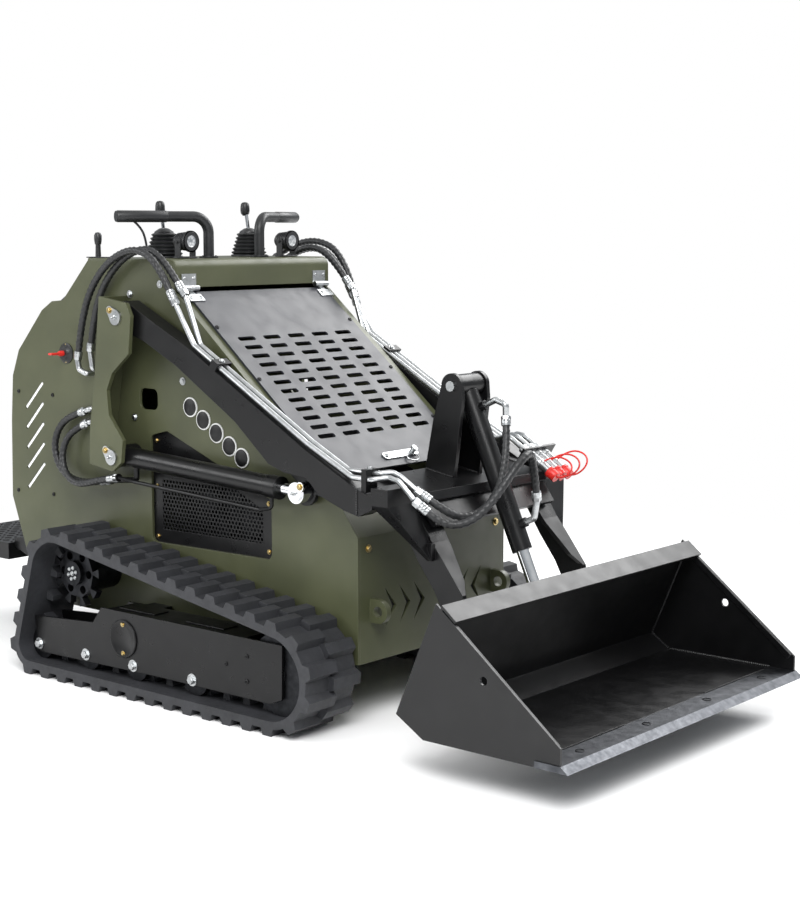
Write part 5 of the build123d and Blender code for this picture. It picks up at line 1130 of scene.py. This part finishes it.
def platform_tread():
    """Raised lozenges on the platform's deck."""
    mesh = bmesh.new()
    for i in range(11):
        for j in range(19):
            x = -1.235 + 0.027 * i
            y = -0.252 + 0.028 * j
            turn = pi / 4 if (i + j) % 2 else -pi / 4
            way = Vector((cos(turn), sin(turn), 0))
            across = Vector((-sin(turn), cos(turn), 0))
            add_box(mesh, Vector((x, y, 0.3005)), (0.020, 0.006, 0.003), (way, across, (0, 0, 1)), 0.001)
    add_piece("deck_tread", mesh, "operator_platform", "black")


def rear_trim():
    """A plain hatch with two latches on the rear panel, and louvres below it."""
    low = Vector((-0.884, 0, 0.677))
    high = Vector((-0.873, 0, 0.810))
    up, out = slope_axes(low, high)
    centre = (low + high) / 2 + out * 0.003
    latch = ((0, 0.014), (0.004, 0.014), (0.006, 0.012), (0.006, 0))
    hatch = bmesh.new()
    add_box(hatch, centre, (0.40, 0.110, 0.004), ((0, 1, 0), up, out), 0.001)
    for y in (-0.15, 0.15):
        add_lathe(hatch, centre + Vector((0, y, 0)) + out * 0.002, out, latch, 24)
    add_piece("rear_hatch", hatch, "chassis", "olive")
    low = Vector((-0.889, 0, 0.500))
    high = Vector((-0.885, 0, 0.640))
    up, out = slope_axes(low, high)
    slats = bmesh.new()
    for i in range(7):
        axes = ((0, 1, 0), up + out * 0.5, out - up * 0.5)
        add_box(slats, low.lerp(high, i / 6) + out * 0.004, (0.42, 0.010, 0.006), axes, 0.001)
    add_piece("rear_louvres", slats, "chassis", "black")


# Camera, light and floor
def turn_to(item, place, way):
    """Put a camera or a light at a place and turn it along a direction."""
    item.matrix_world = Matrix.Translation(place) @ way.to_track_quat("-Z", "Y").to_matrix().to_4x4()


def set_camera():
    """The camera at the photograph's place, looking back along its azimuth and slightly down."""
    camera = bpy.data.cameras.new("camera")
    camera.sensor_fit = "AUTO"
    camera.sensor_width = SENSOR
    camera.lens = FOCAL_PIXELS * SENSOR / PHOTO_HEIGHT
    camera.clip_end = 100
    item = place_object("camera", camera)
    azimuth = radians(CAMERA_AZIMUTH)
    drop = radians(CAMERA_DROP)
    turn_to(item, CAMERA_PLACE, Vector((-sin(azimuth) * cos(drop), cos(azimuth) * cos(drop), -sin(drop))))
    bpy.context.scene.camera = item


def seen_straight(tree):
    """1 for what the camera sees, also through glass, and 0 for light on the object."""
    path = add_node(tree, "LightPath").outputs
    seen = add_node(tree, "Math", {"operation": "MAXIMUM"}, _0=path["Is Camera Ray"],
                    _1=path["Is Transmission Ray"])
    return seen.outputs["Value"]


def set_world():
    """Soft pale light from all round, brighter above; seen straight on, it is plain white."""
    world = bpy.data.worlds.new("studio")
    bpy.context.scene.world = world
    world.use_nodes = True
    tree = world.node_tree
    place = add_node(tree, "TexCoord").outputs["Generated"]
    height = add_node(tree, "SeparateXYZ", Vector=place).outputs["Z"]
    share = add_node(tree, "MapRange", Value=height, _1=-0.1, _2=1.0, _3=0.0, _4=1.0)
    stops = ((0.0, "#6c7074"), (0.4, "#b9bdc1"), (0.85, "#ffffff"))
    sky = add_node(tree, "ValToRGB", {"stops": stops}, Fac=share.outputs["Result"])
    mix = add_node(tree, "Mix", {"data_type": "RGBA"}, Factor=seen_straight(tree),
                   _6=sky.outputs["Color"], _7=linear("#ffffff"))
    feed(tree, tree.nodes["Background"], Color=mix.outputs[2], Strength=1.0)


def add_light(name, place, aim, size, power):
    """One soft box of light, aimed at a point."""
    light = bpy.data.lights.new(name, "AREA")
    light.shape = "RECTANGLE"
    light.size, light.size_y = size
    light.energy = power
    turn_to(place_object(name, light), place, Vector(aim) - Vector(place))


def set_floor():
    """The studio floor, far wider than the object, matt and nearly white; it fades to white far away."""
    mesh = bpy.data.meshes.new("floor")
    mesh.from_pydata([(-30, -30, 0), (30, -30, 0), (30, 30, 0), (-30, 30, 0)], [], [(0, 1, 2, 3)])
    floor = place_object("floor", mesh)
    material, tree, shader, place = new_material("studio_floor")
    feed(tree, shader, Base_Color=toned(tree, place, 833, (0.3, "#f8f8f8"), (0.7, "#fbfbfb"), detail=2.0),
         Roughness=0.9)
    away = add_node(tree, "VectorMath", {"operation": "LENGTH"}, _0=place).outputs["Value"]
    far = add_node(tree, "MapRange", {"interpolation_type": "SMOOTHSTEP"}, Value=away, _1=1.7, _2=3.2)
    share = add_node(tree, "Math", {"operation": "MULTIPLY"}, _0=far.outputs["Result"],
                     _1=seen_straight(tree))
    white = add_node(tree, "Emission", Color=linear("#ffffff"), Strength=1.0)
    both = add_node(tree, "MixShader", _0=share.outputs["Value"], _1=shader.outputs["BSDF"],
                    _2=white.outputs["Emission"])
    feed(tree, tree.nodes["Material Output"], Surface=both.outputs["Shader"])
    mesh.materials.append(material)


set_camera()
set_world()
set_floor()
add_light("key", (3.2, -3.6, 4.6), (0, 0, 0.4), (3.0, 3.0), 330)
add_light("fill", (-3.5, -4.0, 2.8), (0, 0, 0.5), (3.0, 2.0), 110)
add_light("sheen", (0.9, 4.4, 4.2), (0.6, 0, 0.5), (5.0, 2.6), 290)
bpy.context.scene.view_settings.view_transform = "Standard"

dress_frame()
hoses()
sleeves()
side_bolts()
flag_bolts()
pin_ends()
track_frame_trim()
wheel_trim()
mesh_screens()
engine_bay()
slot_light_strips()
joystick_set()
lamp_set()
isolator()
throttle()
grips()
dash()
pad()
guard_trim()
front_bolts()
welds()
clamp_bolts()
coupler_trim()
bucket_trim()
platform_tread()
rear_trim()
